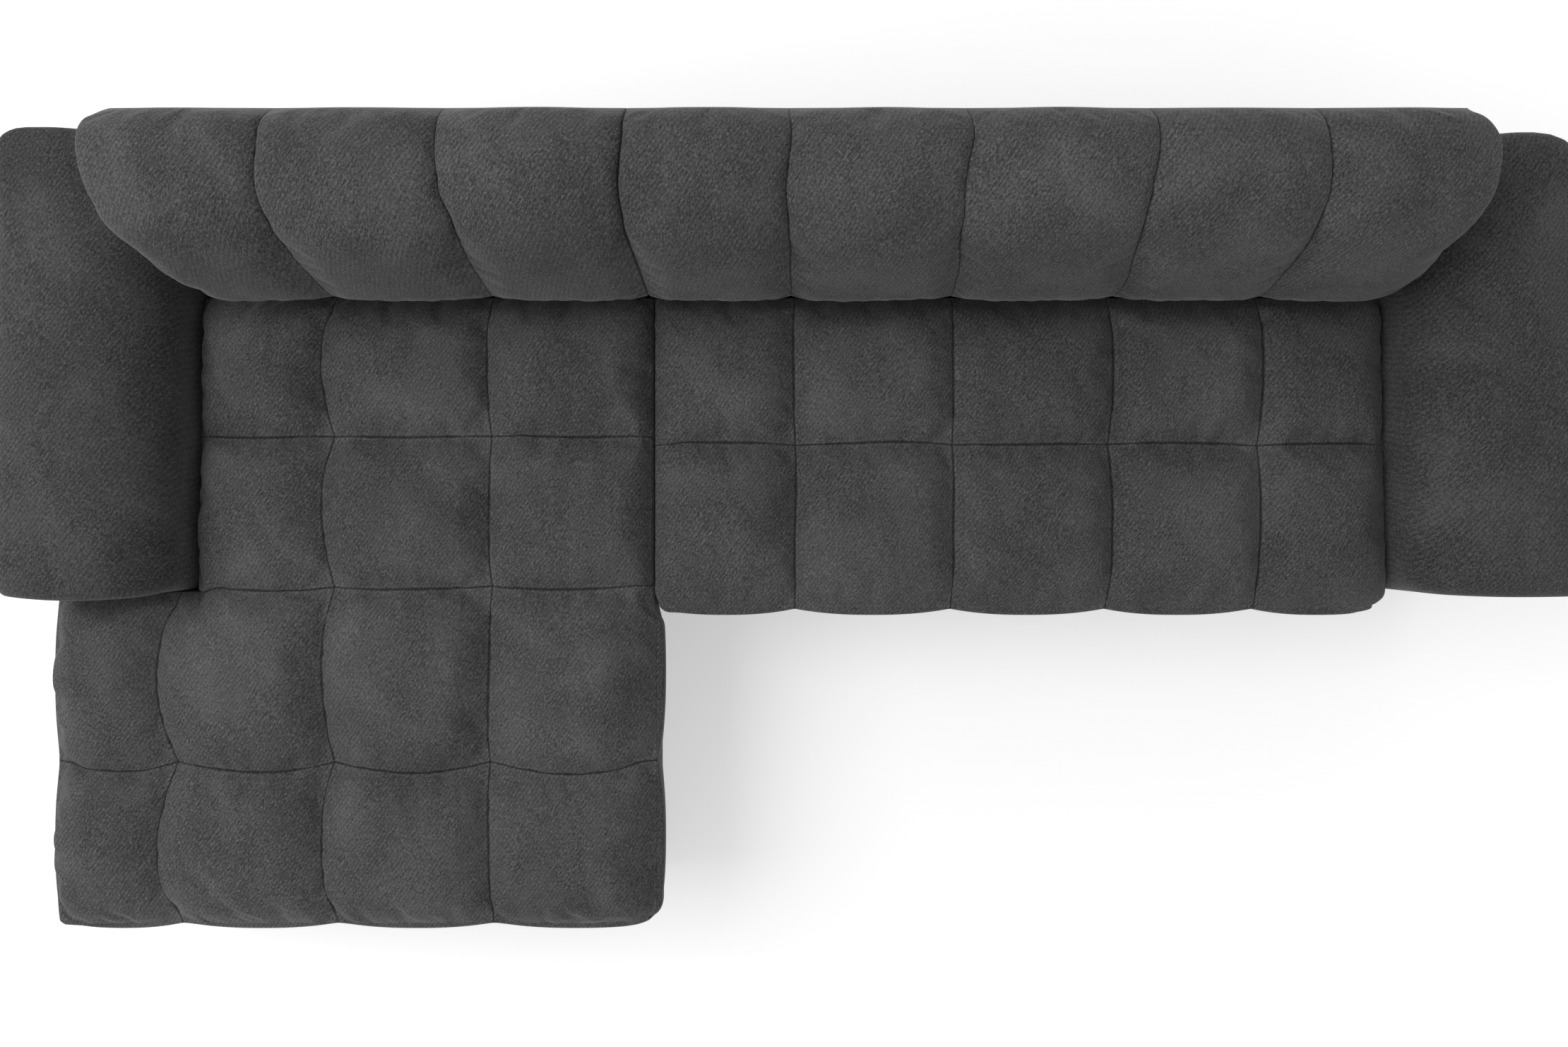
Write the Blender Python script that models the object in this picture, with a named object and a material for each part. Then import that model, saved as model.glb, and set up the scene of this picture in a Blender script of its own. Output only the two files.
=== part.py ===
"""Sofa with chaise: a main unit and a wide chaise unit with a lift-up seat over a storage box.

Metres, +Z up. The origin is under the middle of the overall box, on the floor.
The width runs along X, the front faces -Y, and the chaise is on the -X side.
"""
import math

import bmesh
import bpy
from mathutils import Matrix, Vector

for old in list(bpy.data.objects):
    bpy.data.objects.remove(old, do_unlink=True)

# Overall sizes
overall_width = 2.912
overall_depth = 1.53
overall_height = 0.88
main_depth = 0.908
chaise_width = 1.192
chaise_reach = 0.018
foot_height = 0.050

# Arms
arm_width = 0.272
arm_front_taper = 0.012
arm_depth = 0.858
arm_height = 0.635
arm_inner_round = 0.150
arm_outer_round = 0.030
arm_end_round = 0.035
arm_outer_wall = 0.012
arm_inner_wall = 0.060
arm_top_wall = 0.110
arm_front_wall = 0.045

# Seats
base_top = 0.260
seat_height = 0.445
seat_puff = 0.030
seat_edge_drop = 0.014
seat_side_bulge = 0.010
seat_overhang = 0.012
seat_corner_cut = 0.011
seat_tuck = 0.036
lid_side_gap = 0.003

# Backs
back_depth = 0.310
back_foot_depth = 0.235
back_foot_height = 0.270
back_lip_height = 0.565
back_under_lip_height = 0.500
back_crease = 0.026
back_end_crease = 0.030
back_corner_round = 0.110
back_corner_pull = 0.055
back_frame_top = 0.710
back_cover_drop = 0.010
back_under_step = 0.009

# Boards, rails and covers
board = 0.018
post_depth = 0.060
post_width = 0.045
rail_thickness = 0.030
cover = 0.003
base_inset = 0.016
base_joint_inset = 0.026
floor_thickness = 0.005
dust_cover_thickness = 0.001
gap = 0.0003
overrun = 0.010

# Springs under the main seat
spring_count = 4
spring_wire = 0.0038
spring_turns = 11
spring_half_width = 0.024
spring_seat = 0.012

# Feet
foot_radius = 0.028
foot_tip_radius = 0.020
foot_inset = 0.070

# Lift linkage, measured from the rear plane of the sofa and from the floor
link_plate = 0.004
link_layer = 0.0045
link_half_width = 0.014
pin_radius = 0.006
pin_gap = 0.0006
rear_link_length = 0.178
rear_link_angle = 38.16
rear_pivot_back = 0.464
rear_pivot_height = 0.130
front_pivot_back = 0.5405
front_pivot_height = 0.150
bracket_pivot_spacing = 0.060
base_plate_margin = 0.026
seat_plate_rear_run = 0.026
seat_plate_front_run = 0.020
seat_flange = 0.028

# Bolts that hold the two units together
bolt_radius = 0.004
bolt_head_radius = 0.010
bolt_head = 0.005
bolt_inset = 0.120
rear_bolt_inset = 0.060
bolt_merge = 0.00008
bolt_height = 0.150

# Seam places as shares of the seats, chosen from the photo
main_seat_column_shares = (0.0, 0.194, 0.412, 0.624, 0.829, 1.0)
main_seat_row_shares = (0.0, 0.529, 1.0)
chaise_column_shares = (0.0, 0.174, 0.450, 0.732, 1.0)
chaise_row_shares = (0.0, 0.255, 0.540, 0.782, 1.0)
left_back_channel_shares = (0.0, 0.328, 0.661, 1.0)
right_back_channel_shares = (0.0, 0.188, 0.393, 0.605, 0.807, 1.0)
cell_shares = (0.0, 0.10, 0.30, 0.50, 0.70, 0.90)
channel_shares = (0.0, 0.08, 0.28, 0.50, 0.72, 0.92)
side_level_shares = (0.08, 0.30, 0.70, 1.0)
side_bulge_shares = (0.90, 1.0, 0.60, 0.0)
seam_bulge_share = 0.2
edge_lift_share = 0.25
puff_power = 2.4
puff_fullness = 0.65

# The back's section. Each row is a share of the depth, of the height above the lip, of the crease
# at a seam, and of the pull at the rounded end
back_profile_shares = (
    (0.085, 0.775, 0.30, 0.0),
    (0.14, 0.93, 0.70, 0.0),
    (0.27, 0.99, 1.0, 0.0),
    (0.47, 1.0, 1.0, 0.1),
    (0.66, 0.93, 1.0, 0.3),
    (0.80, 0.78, 1.0, 0.5),
    (0.90, 0.51, 0.9, 0.8),
    (0.97, 0.22, 0.7, 1.0),
    (1.0, 0.0, 0.5, 1.0),
)
# The same below the lip, where the height is a share of the lip's own thickness
back_under_shares = (
    (0.985, 0.40, 0.5, 1.0),
    (0.93, 0.0, 0.3, 0.5),
)
# A spring's turn as shares of its pitch and of its half width
spring_wave_shares = ((0.18, 0.8), (0.5, 1.0), (0.82, 0.8))

# Lines that several pieces share
x_left = -overall_width / 2
x_right = overall_width / 2
x_arm_outer = x_left + chaise_reach
x_arm_left = x_arm_outer + arm_width
x_arm_right = x_right - arm_width
x_joint = x_left + chaise_width
y_rear = overall_depth / 2
y_front = -overall_depth / 2
y_main_front = y_rear - main_depth
y_arm_front = y_rear - arm_depth
y_back_frame = y_rear - cover - gap
y_post = y_back_frame - board - gap
y_back_pad_rear = y_post - post_depth - gap
y_seat_rear = y_rear - back_depth + seat_tuck
y_base_front = y_front + base_inset
y_main_base_front = y_main_front + base_inset
lid_bottom = base_top + gap
lid_top = lid_bottom + board
seat_bottom = lid_top + gap
unit_left_edge = x_joint - gap
unit_right_edge = x_joint + gap
base_left_edge = x_joint - base_joint_inset - gap
base_right_edge = x_joint - base_joint_inset + gap


def make_material(name, color, roughness, metallic=0.0):
    material = bpy.data.materials.new(name)
    material.use_nodes = True
    shader = material.node_tree.nodes["Principled BSDF"]
    shader.inputs["Base Color"].default_value = (*color, 1.0)
    shader.inputs["Roughness"].default_value = roughness
    shader.inputs["Metallic"].default_value = metallic
    return material


charcoal_velour = make_material("charcoal_velour", (0.065, 0.065, 0.066), 0.95)
pine_wood = make_material("pine_wood", (0.60, 0.43, 0.26), 0.65)
chipboard = make_material("chipboard", (0.55, 0.42, 0.28), 0.75)
zinc_steel = make_material("zinc_steel", (0.62, 0.62, 0.60), 0.35, 1.0)
spring_steel = make_material("spring_steel", (0.30, 0.30, 0.30), 0.40, 1.0)
black_plastic = make_material("black_plastic", (0.02, 0.02, 0.02), 0.45)
grey_felt = make_material("grey_felt", (0.30, 0.30, 0.30), 0.95)
black_cloth = make_material("black_cloth", (0.03, 0.03, 0.03), 0.90)


def add_object(name, mesh, material, parent=None):
    made = bpy.data.objects.new(name, mesh)
    bpy.context.scene.collection.objects.link(made)
    mesh.materials.append(material)
    if parent is not None:
        made.parent = parent
        made.matrix_parent_inverse = Matrix.Translation(-parent.location)
    return made


def mesh_from(form, name):
    bmesh.ops.recalc_face_normals(form, faces=form.faces)
    mesh = bpy.data.meshes.new(name)
    form.to_mesh(mesh)
    form.free()
    return mesh


def add_block(name, low, high, material, parent=None):
    """A board, rail or plate between two corners."""
    form = bmesh.new()
    bmesh.ops.create_cube(form, size=1.0)
    size = Vector(high) - Vector(low)
    middle = (Vector(high) + Vector(low)) / 2
    bmesh.ops.scale(form, vec=size, verts=form.verts)
    bmesh.ops.translate(form, vec=middle, verts=form.verts)
    return add_object(name, mesh_from(form, name), material, parent)


def add_extrusion(name, outline, run, material, parent=None):
    """A flat outline, given as corner points, pushed along the vector run."""
    form = bmesh.new()
    corners = [form.verts.new(point) for point in outline]
    face = form.faces.new(corners)
    pushed = bmesh.ops.extrude_face_region(form, geom=[face])
    moved = [item for item in pushed["geom"] if isinstance(item, bmesh.types.BMVert)]
    bmesh.ops.translate(form, vec=run, verts=moved)
    return add_object(name, mesh_from(form, name), material, parent)


def cut_with(target, cutters):
    for cutter in cutters:
        cutter.hide_render = True
        cutter.display_type = "WIRE"
        cut = target.modifiers.new("cut", "BOOLEAN")
        cut.operation = "DIFFERENCE"
        cut.solver = "EXACT"
        cut.object = cutter


def joint_empty(name, y, z):
    empty = bpy.data.objects.new(name, None)
    empty.location = (0, y, z)
    bpy.context.scene.collection.objects.link(empty)
    return empty


def arc_points(center_a, center_b, radius, start, stop, steps):
    """Points of an arc in any two axes, from angle start to stop in degrees."""
    points = []
    for step in range(steps + 1):
        angle = math.radians(start + (stop - start) * step / steps)
        points.append((center_a + radius * math.cos(angle), center_b + radius * math.sin(angle)))
    return points


def swell(share):
    """How far a stuffed cell stands up, 0 at its seams and 1 in its middle."""
    return 1 - abs(2 * share - 1) ** puff_power


def spread(start, stop, shares):
    return [start + (stop - start) * share for share in shares]


def arm_slant(y):
    """How far the arms' inner faces have drawn back from the seats at the depth y."""
    share = (y_seat_rear - y) / (y_seat_rear - y_arm_front)
    return arm_front_taper * min(1.0, max(0.0, share))


def fine_lines(lines, shares):
    """Each stretch between two lines, divided by shares, with the last line added."""
    places = []
    for first, last in zip(lines, lines[1:]):
        places += spread(first, last, shares)
    return places + [lines[-1]]


# The two seats: square-quilted pads
def cell_share(value, lines):
    for first, last in zip(lines, lines[1:]):
        if first <= value <= last:
            return (value - first) / (last - first)
    return 0.0


def add_quilted_pad(name, grid_x, grid_y, keeps_cell, columns_at, rows, is_free_side, is_cut_corner,
                    slant_at, parent=None):
    """A pad whose top is a grid of stuffed cells and whose free sides swell between the seams."""
    form = bmesh.new()
    count_x = len(grid_x) - 1
    count_y = len(grid_y) - 1
    bmesh.ops.create_grid(form, x_segments=count_x, y_segments=count_y, size=1.0)
    for vert in form.verts:
        column = round((vert.co.x + 1) / 2 * count_x)
        row = round((vert.co.y + 1) / 2 * count_y)
        vert.co = (grid_x[column], grid_y[row], 0)
    outside = [face for face in form.faces if not keeps_cell(face.calc_center_median())]
    bmesh.ops.delete(form, geom=outside, context="FACES")

    outward = {}
    for edge in form.edges:
        if edge.is_boundary:
            middle = (edge.verts[0].co + edge.verts[1].co) / 2
            direction = (middle - edge.link_faces[0].calc_center_median()).normalized()
            side = direction if is_free_side(middle, direction) else Vector((0, 0, 0))
            for vert in edge.verts:
                outward.setdefault(vert, []).append((direction, side))

    seam_height = seat_height - seat_puff
    side_height = seam_height - seat_edge_drop - seat_bottom
    top_loop = {}
    for vert in form.verts:
        along_x = swell(cell_share(vert.co.x, columns_at(vert.co.y)))
        along_y = swell(cell_share(vert.co.y, rows))
        height = seam_height + seat_puff * (along_x * along_y) ** puff_fullness
        if vert in outward:
            height -= seat_edge_drop
            push = sum((side for _, side in outward[vert]), Vector((0, 0, 0)))
            straight = outward[vert][0][0].dot(outward[vert][1][0]) > 0.5
            if straight:
                run = along_y if abs(outward[vert][0][0].x) > 0.5 else along_x
                push = push / 2
                height += seat_edge_drop * run * edge_lift_share
            else:
                run = 0.0
                if is_cut_corner(vert.co):
                    total = sum((direction for direction, _ in outward[vert]), Vector((0, 0, 0)))
                    vert.co -= total * seat_corner_cut
            top_loop[vert] = (push, run)
        vert.co.z = height
    for vert in form.verts:
        vert.co.x += slant_at(vert.co)

    loop = {vert: (vert.co.copy(), top_loop[vert]) for vert in top_loop}
    for level, bulge in zip(side_level_shares, side_bulge_shares):
        rim = [edge for edge in form.edges if edge.is_boundary and edge.verts[0] in loop]
        pushed = bmesh.ops.extrude_edge_only(form, edges=rim)["geom"]
        fresh = [item for item in pushed if isinstance(item, bmesh.types.BMVert)]
        lower = {}
        for vert in fresh:
            source = min(loop, key=lambda old: (old.co - vert.co).length_squared)
            place, (push, run) = loop[source]
            lower[vert] = (place, (push, run), level, bulge)
        for vert, (place, (push, run), share, bulge) in lower.items():
            fullness = seam_bulge_share + (1 - seam_bulge_share) * run
            stand = seat_side_bulge * fullness * bulge
            vert.co = place + push * stand
            vert.co.z = place.z + (seat_bottom - place.z) * share
        loop = {vert: (place, data) for vert, (place, data, share, bulge) in lower.items()}
    bottom = [edge for edge in form.edges if edge.is_boundary]
    bmesh.ops.contextual_create(form, geom=bottom)
    return add_object(name, mesh_from(form, name), charcoal_velour, parent)


# Chaise seat pad: four columns in front of the arm, three beside it
pad_left = x_left + seat_side_bulge
pad_right = unit_left_edge - lid_side_gap
pad_front = y_front + seat_side_bulge
arm_line = x_arm_left + lid_side_gap
wing_line = y_arm_front - lid_side_gap
chaise_columns = spread(pad_left, pad_right, chaise_column_shares)
chaise_rows = spread(pad_front, y_seat_rear, chaise_row_shares)
chaise_rows[2] = wing_line
inner_columns = [arm_line] + chaise_columns[2:]


def chaise_columns_at(y):
    return chaise_columns if y <= wing_line else inner_columns


def in_chaise_seat(place):
    return place.x > arm_line or place.y < wing_line


def chaise_side_is_free(place, direction):
    in_front = direction.y < -0.5
    at_left = direction.x < -0.5 and place.y < wing_line
    at_right = direction.x > 0.5 and place.y < y_main_front
    return in_front or at_left or at_right


def chaise_corner_is_cut(place):
    return place.x > chaise_columns[3] and place.y < chaise_rows[1]


def chaise_slant(place):
    """In front of the main unit the last column hangs over, and beside the arm the first one widens."""
    if place.y < y_main_front and place.x > chaise_columns[-2]:
        return seat_overhang * (place.x - chaise_columns[-2]) / (pad_right - chaise_columns[-2])
    if place.y < wing_line or place.x > inner_columns[1]:
        return 0.0
    share = (inner_columns[1] - place.x) / (inner_columns[1] - arm_line)
    return -arm_slant(place.y) * share


chaise_grid_x = fine_lines(chaise_columns[:2], cell_shares)[:-1]
chaise_grid_x += [chaise_columns[1], arm_line] + fine_lines(inner_columns, cell_shares)[1:]
chaise_grid_y = fine_lines(chaise_rows, cell_shares)

lid_empty = joint_empty("lid_axis", y_rear - rear_pivot_back + rear_link_length
                        * math.cos(math.radians(rear_link_angle)),
                        rear_pivot_height + rear_link_length * math.sin(math.radians(rear_link_angle)))
rear_link_empty = joint_empty("rear_link_axis", y_rear - rear_pivot_back, rear_pivot_height)
front_link_empty = joint_empty("front_link_axis", y_rear - front_pivot_back, front_pivot_height)

add_quilted_pad("chaise_seat_cushion", chaise_grid_x, chaise_grid_y, in_chaise_seat,
                chaise_columns_at, chaise_rows, chaise_side_is_free, chaise_corner_is_cut,
                chaise_slant, lid_empty)

# Main seat pad: five columns, two rows
main_left = unit_right_edge
main_right = x_arm_right - gap
main_pad_front = y_main_front + seat_side_bulge
main_columns = spread(main_left, main_right, main_seat_column_shares)
main_rows = spread(main_pad_front, y_seat_rear, main_seat_row_shares)


def main_columns_at(y):
    return main_columns


def in_main_seat(place):
    return True


def main_side_is_free(place, direction):
    return direction.y < -0.5


def main_corner_is_cut(place):
    return place.y < main_rows[1]


def main_slant(place):
    share = (place.x - main_columns[-2]) / (main_columns[-1] - main_columns[-2])
    return arm_slant(place.y) * max(0.0, share)


add_quilted_pad("main_seat_cushion", fine_lines(main_columns, cell_shares),
                fine_lines(main_rows, cell_shares), in_main_seat, main_columns_at, main_rows,
                main_side_is_free, main_corner_is_cut, main_slant)


# The two backs: padded forms sewn into upright channels
def back_outline():
    """Corner points (distance from the rear plane, height, share of the crease, share of the pull)."""
    rail = back_frame_top + gap
    pad_rear = y_rear - y_back_pad_rear
    rise = overall_height - back_lip_height
    lip = back_lip_height - back_under_lip_height
    points = [(pad_rear, back_foot_height, 0.0, 0.0), (pad_rear, rail, 0.0, 0.0),
              (back_cover_drop, rail, 0.0, 0.0)]
    for depth, height, crease, pull in back_profile_shares:
        points.append((back_depth * depth, back_lip_height + rise * height, crease, pull))
    for depth, height, crease, pull in back_under_shares:
        points.append((back_depth * depth, back_under_lip_height + lip * height, crease, pull))
    points.append((back_foot_depth, back_under_lip_height - back_under_step, 0.0, 0.0))
    points.append((back_foot_depth, back_foot_height, 0.0, 0.0))
    return points


def skin_rings(rings):
    """A closed form through rings of places, which all have as many points."""
    form = bmesh.new()
    drawn = [[form.verts.new(place) for place in ring] for ring in rings]
    form.faces.new(drawn[0])
    form.faces.new(drawn[-1])
    for near, far in zip(drawn, drawn[1:]):
        for index in range(len(near)):
            following = (index + 1) % len(near)
            form.faces.new((near[index], near[following], far[following], far[index]))
    return form


def add_channelled_back(name, left, right, shares, outer):
    channels = spread(left, right, shares)
    middle = Vector((0, y_rear - back_depth / 2, back_frame_top))
    rings = []
    for x in fine_lines(channels, channel_shares):
        crease_depth = back_end_crease if x in (left, right) else back_crease
        depth = crease_depth * (1 - swell(cell_share(x, channels)) ** puff_fullness)
        from_round = max(0.0, 1 - abs(x - outer) / back_corner_round)
        end_pull = back_corner_pull * (1 - math.sqrt(1 - from_round ** 2))
        ring = []
        for back, height, crease, pull in back_outline():
            place = Vector((x, y_rear - back, height))
            inward = Vector((0, middle.y - place.y, middle.z - place.z)).normalized()
            ring.append(place + inward * (depth * crease + end_pull * pull))
        rings.append(ring)
    return add_object(name, mesh_from(skin_rings(rings), name), charcoal_velour)


add_channelled_back("chaise_back_cushion", x_arm_left + gap, unit_left_edge,
                    left_back_channel_shares, x_arm_left + gap)
add_channelled_back("main_back_cushion", unit_right_edge, x_arm_right - gap,
                    right_back_channel_shares, x_arm_right - gap)


# Back frames: each unit has a board, two posts, a top rail and a rear cover round its outer end
def add_back_frame(unit, outer, joint):
    side = 1 if joint > outer else -1
    frame_outer = outer + side * (cover + gap)
    left, right = sorted((frame_outer, joint))
    front = y_post - post_depth
    rail_bottom = back_frame_top - post_width
    post_bottom = foot_height + floor_thickness + gap
    add_block(unit + "_back_board", (left, y_back_frame - board, foot_height),
              (right, y_back_frame, back_frame_top), chipboard)
    add_block(unit + "_back_left_post", (left, front, post_bottom),
              (left + post_width, y_post, rail_bottom - gap), pine_wood)
    add_block(unit + "_back_right_post", (right - post_width, front, post_bottom),
              (right, y_post, rail_bottom - gap), pine_wood)
    add_block(unit + "_back_top_rail", (left, front, rail_bottom),
              (right, y_post, back_frame_top), pine_wood)
    wrap = [(outer, front), (outer + side * cover, front), (outer + side * cover, y_rear - cover),
            (joint, y_rear - cover), (joint, y_rear), (outer, y_rear)]
    add_extrusion(unit + "_back_rear_cover", [(x, y, foot_height) for x, y in wrap],
                  (0, 0, back_frame_top - foot_height), charcoal_velour)


add_back_frame("chaise", x_arm_left + gap, unit_left_edge)
add_back_frame("main", x_arm_right - gap, unit_right_edge)


# Arms: a padded cover over two side boards and a top board
def arm_outline(outer, inner):
    """The arm's section from its outer foot over the top to its inner foot, in X and Z."""
    side = 1 if inner > outer else -1
    points = [(outer, foot_height)]
    for x, z in arc_points(0, arm_height - arm_outer_round, arm_outer_round, 180, 90, 4):
        points.append((outer + side * (arm_outer_round + x), z))
    for x, z in arc_points(0, arm_height - arm_inner_round, arm_inner_round, 90, 0, 8):
        points.append((inner - side * (arm_inner_round - x), z))
    points.append((inner, foot_height))
    return points


def add_arm(side_name, outer, inner):
    side = 1 if inner > outer else -1
    outline = arm_outline(outer, inner)
    center = Vector(((outer + inner) / 2, 0, foot_height))
    stations = [(y_arm_front, 1.0)]
    for inset, forward in arc_points(1.0, 0.0, 1.0, 180, 90, 4)[1:]:
        stations.append((y_arm_front + arm_end_round * inset, 1 - forward))
    stations.append((y_seat_rear, 0.0))
    stations.append((y_rear, 0.0))
    rings = []
    for y, pull in stations:
        ring = []
        for x, z in outline:
            place = Vector((x, y, z))
            if z > foot_height:
                place.z -= arm_end_round * pull * (z - foot_height) / (arm_height - foot_height)
            inward = max(0.0, (x - center.x) * side) / (arm_width / 2)
            place.x -= side * (arm_end_round * pull + arm_slant(y)) * inward
            ring.append(place)
        rings.append(ring)
    name = side_name + "_arm_cover"
    shell = add_object(name, mesh_from(skin_rings(rings), name), charcoal_velour)

    pocket_outer = outer + side * arm_outer_wall
    pocket_inner = inner - side * arm_inner_wall
    pocket_top = arm_height - arm_top_wall
    pocket_front = y_arm_front + arm_front_wall
    low_x, high_x = sorted((pocket_outer, pocket_inner))
    pocket = add_block(side_name + "_arm_pocket", (low_x, pocket_front, foot_height - overrun),
                       (high_x, y_rear - cover, pocket_top), charcoal_velour)
    cut_with(shell, [pocket])

    low_x += gap
    high_x -= gap
    front = pocket_front + gap
    rear = y_rear - cover - gap
    board_top = pocket_top - gap - board - gap
    low_name, high_name = ("outer", "inner") if side > 0 else ("inner", "outer")
    add_block(side_name + "_arm_" + low_name + "_board", (low_x, front, foot_height),
              (low_x + board, rear, board_top), chipboard)
    add_block(side_name + "_arm_" + high_name + "_board", (high_x - board, front, foot_height),
              (high_x, rear, board_top), chipboard)
    add_block(side_name + "_arm_top_board", (low_x, front, board_top + gap),
              (high_x, rear, pocket_top - gap), chipboard)


add_arm("left", x_arm_outer, x_arm_left)
add_arm("right", x_right, x_arm_right)

# Chaise box: upright boards on edge, a thin floor, and a fabric skirt round the outside
box_left = x_left + base_inset + cover + gap
box_front = y_base_front + cover + gap
box_right = base_left_edge - cover - gap
box_arm_side = x_arm_left + gap
box_step = y_arm_front - gap
board_bottom = foot_height + floor_thickness + gap
box_frame_rear = y_back_pad_rear - gap
lid_rest_rear = y_seat_rear - gap

add_block("chaise_front_board", (box_left, box_front, board_bottom),
          (box_right, box_front + board, base_top), chipboard)
add_block("chaise_left_board", (box_left, box_front + board + gap, board_bottom),
          (box_left + board, box_step - board - gap, base_top), chipboard)
add_block("chaise_step_board", (box_left, box_step - board, board_bottom),
          (box_arm_side - gap, box_step, base_top), chipboard)
add_block("chaise_arm_side_board", (box_arm_side, box_step - board, board_bottom),
          (box_arm_side + board, box_frame_rear, base_top), chipboard)
right_board = add_block("chaise_right_board",
                        (box_right - board, box_front + board + gap, board_bottom),
                        (box_right, box_frame_rear, base_top), chipboard)
add_block("chaise_rear_board", (box_arm_side + board + gap, lid_rest_rear - board, board_bottom),
          (box_right - board - gap, lid_rest_rear, base_top), chipboard)


def chaise_outline(left, front, right, rear, arm_side, step, height):
    """The chaise's L shape, seen from above."""
    return [(left, front, height), (right, front, height), (right, rear, height),
            (arm_side, rear, height), (arm_side, step, height), (left, step, height)]


add_extrusion("chaise_floor_board",
              chaise_outline(box_left, box_front, box_right, y_post, box_arm_side + cover + gap,
                             box_step, foot_height),
              (0, 0, floor_thickness), grey_felt)

skirt_left = x_left + base_inset
skirt_outline = [(skirt_left, y_base_front), (base_left_edge, y_base_front),
                 (base_left_edge, y_main_base_front), (base_left_edge - cover, y_main_base_front),
                 (base_left_edge - cover, y_base_front + cover),
                 (skirt_left + cover, y_base_front + cover), (skirt_left + cover, box_step),
                 (skirt_left, box_step)]
add_extrusion("chaise_base_cover", [(x, y, foot_height) for x, y in skirt_outline],
              (0, 0, base_top - foot_height), charcoal_velour)

# Lift-up lid under the chaise cushion
add_extrusion("chaise_lid_board",
              chaise_outline(skirt_left, y_base_front, pad_right, y_seat_rear, arm_line,
                             wing_line, lid_bottom),
              (0, 0, board), pine_wood, lid_empty)


# Lift linkages: one on each side wall of the box
def link_end(pivot_y, pivot_z, length, angle):
    turn = math.radians(angle)
    return pivot_y + length * math.cos(turn), pivot_z + length * math.sin(turn)


def add_link(name, start, stop, x, reach_low, reach_high, parent):
    """A flat bar with round ends and a pin through each end."""
    direction = math.degrees(math.atan2(stop[1] - start[1], stop[0] - start[0]))
    outline = arc_points(stop[0], stop[1], link_half_width, direction - 90, direction + 90, 8)
    outline += arc_points(start[0], start[1], link_half_width, direction + 90, direction + 270, 8)
    bar = add_extrusion(name, [(x, y, z) for y, z in outline], (link_plate, 0, 0), zinc_steel, parent)
    for pivot, (low, high) in ((start, reach_low), (stop, reach_high)):
        pin = bmesh.new()
        bmesh.ops.create_cone(pin, cap_ends=True, segments=12, radius1=pin_radius,
                              radius2=pin_radius, depth=high - low)
        bmesh.ops.rotate(pin, matrix=Matrix.Rotation(math.radians(90), 3, "Y"), verts=pin.verts)
        bmesh.ops.translate(pin, vec=((low + high) / 2, pivot[0], pivot[1]), verts=pin.verts)
        tool = add_object(name + "_pin_tool", mesh_from(pin, name + "_pin_tool"), zinc_steel)
        tool.hide_render = True
        tool.display_type = "WIRE"
        join = bar.modifiers.new("pin", "BOOLEAN")
        join.operation = "UNION"
        join.solver = "EXACT"
        join.object = tool
    return bar


def add_hole_tool(name, place, low, high):
    tool = bmesh.new()
    bmesh.ops.create_cone(tool, cap_ends=True, segments=12, radius1=pin_radius + pin_gap,
                          radius2=pin_radius + pin_gap, depth=high - low)
    bmesh.ops.rotate(tool, matrix=Matrix.Rotation(math.radians(90), 3, "Y"), verts=tool.verts)
    bmesh.ops.translate(tool, vec=((low + high) / 2, place[0], place[1]), verts=tool.verts)
    return add_object(name, mesh_from(tool, name), zinc_steel)


rear_low = (y_rear - rear_pivot_back, rear_pivot_height)
rear_high = link_end(*rear_low, rear_link_length, rear_link_angle)
front_low = (y_rear - front_pivot_back, front_pivot_height)
front_high = (rear_high[0] - bracket_pivot_spacing, rear_high[1])


def add_lifter(side_name, wall, side):
    """Layers from the wall inwards: base plate, front link, rear link, seat bracket."""
    def layer(number):
        low = wall + side * (gap + link_layer * number)
        return tuple(sorted((low, low + side * link_plate)))

    base_low, base_high = layer(0)
    plate_y = (min(rear_low[0], front_low[0]) - base_plate_margin,
               max(rear_low[0], front_low[0]) + base_plate_margin)
    plate_z = (min(rear_low[1], front_low[1]) - base_plate_margin,
               max(rear_low[1], front_low[1]) + base_plate_margin)
    base = add_block(side_name + "_lifter_base_plate", (base_low, plate_y[0], plate_z[0]),
                     (base_high, plate_y[1], plate_z[1]), zinc_steel)
    seat_low, seat_high = layer(3)
    bracket_top = lid_bottom - gap
    flange_bottom = bracket_top - link_plate
    wall_face, inner_face = (seat_low, seat_high) if side > 0 else (seat_high, seat_low)
    flange_end = wall_face + side * seat_flange
    y0 = front_high[0] - seat_plate_front_run
    y1 = rear_high[0] + seat_plate_rear_run
    bottom = rear_high[1] - link_half_width
    section = [(wall_face, bottom), (inner_face, bottom), (inner_face, flange_bottom),
               (flange_end, flange_bottom), (flange_end, bracket_top), (wall_face, bracket_top)]
    bracket = add_extrusion(side_name + "_lifter_seat_bracket", [(x, y0, z) for x, z in section],
                            (0, y1 - y0, 0), zinc_steel, lid_empty)
    front_x = layer(1)
    rear_x = layer(2)
    base_reach = (base_low, base_high)
    seat_reach = (seat_low, seat_high)

    def pin_span(first, second):
        return min(first[0], second[0]), max(first[1], second[1])

    add_link(side_name + "_lifter_rear_link", rear_low, rear_high, rear_x[0],
             pin_span(rear_x, base_reach), pin_span(rear_x, seat_reach), rear_link_empty)
    add_link(side_name + "_lifter_front_link", front_low, front_high, front_x[0],
             pin_span(front_x, base_reach), front_x, front_link_empty)
    through = (base_low - overrun, base_high + overrun)
    cut_with(base, [add_hole_tool(side_name + "_base_rear_hole", rear_low, *through),
                    add_hole_tool(side_name + "_base_front_hole", front_low, *through)])
    through = (seat_low - overrun, seat_high + overrun)
    cut_with(bracket, [add_hole_tool(side_name + "_bracket_hole", rear_high, *through)])


add_lifter("left", box_arm_side + board, 1)
add_lifter("right", box_right - board, -1)

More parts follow.
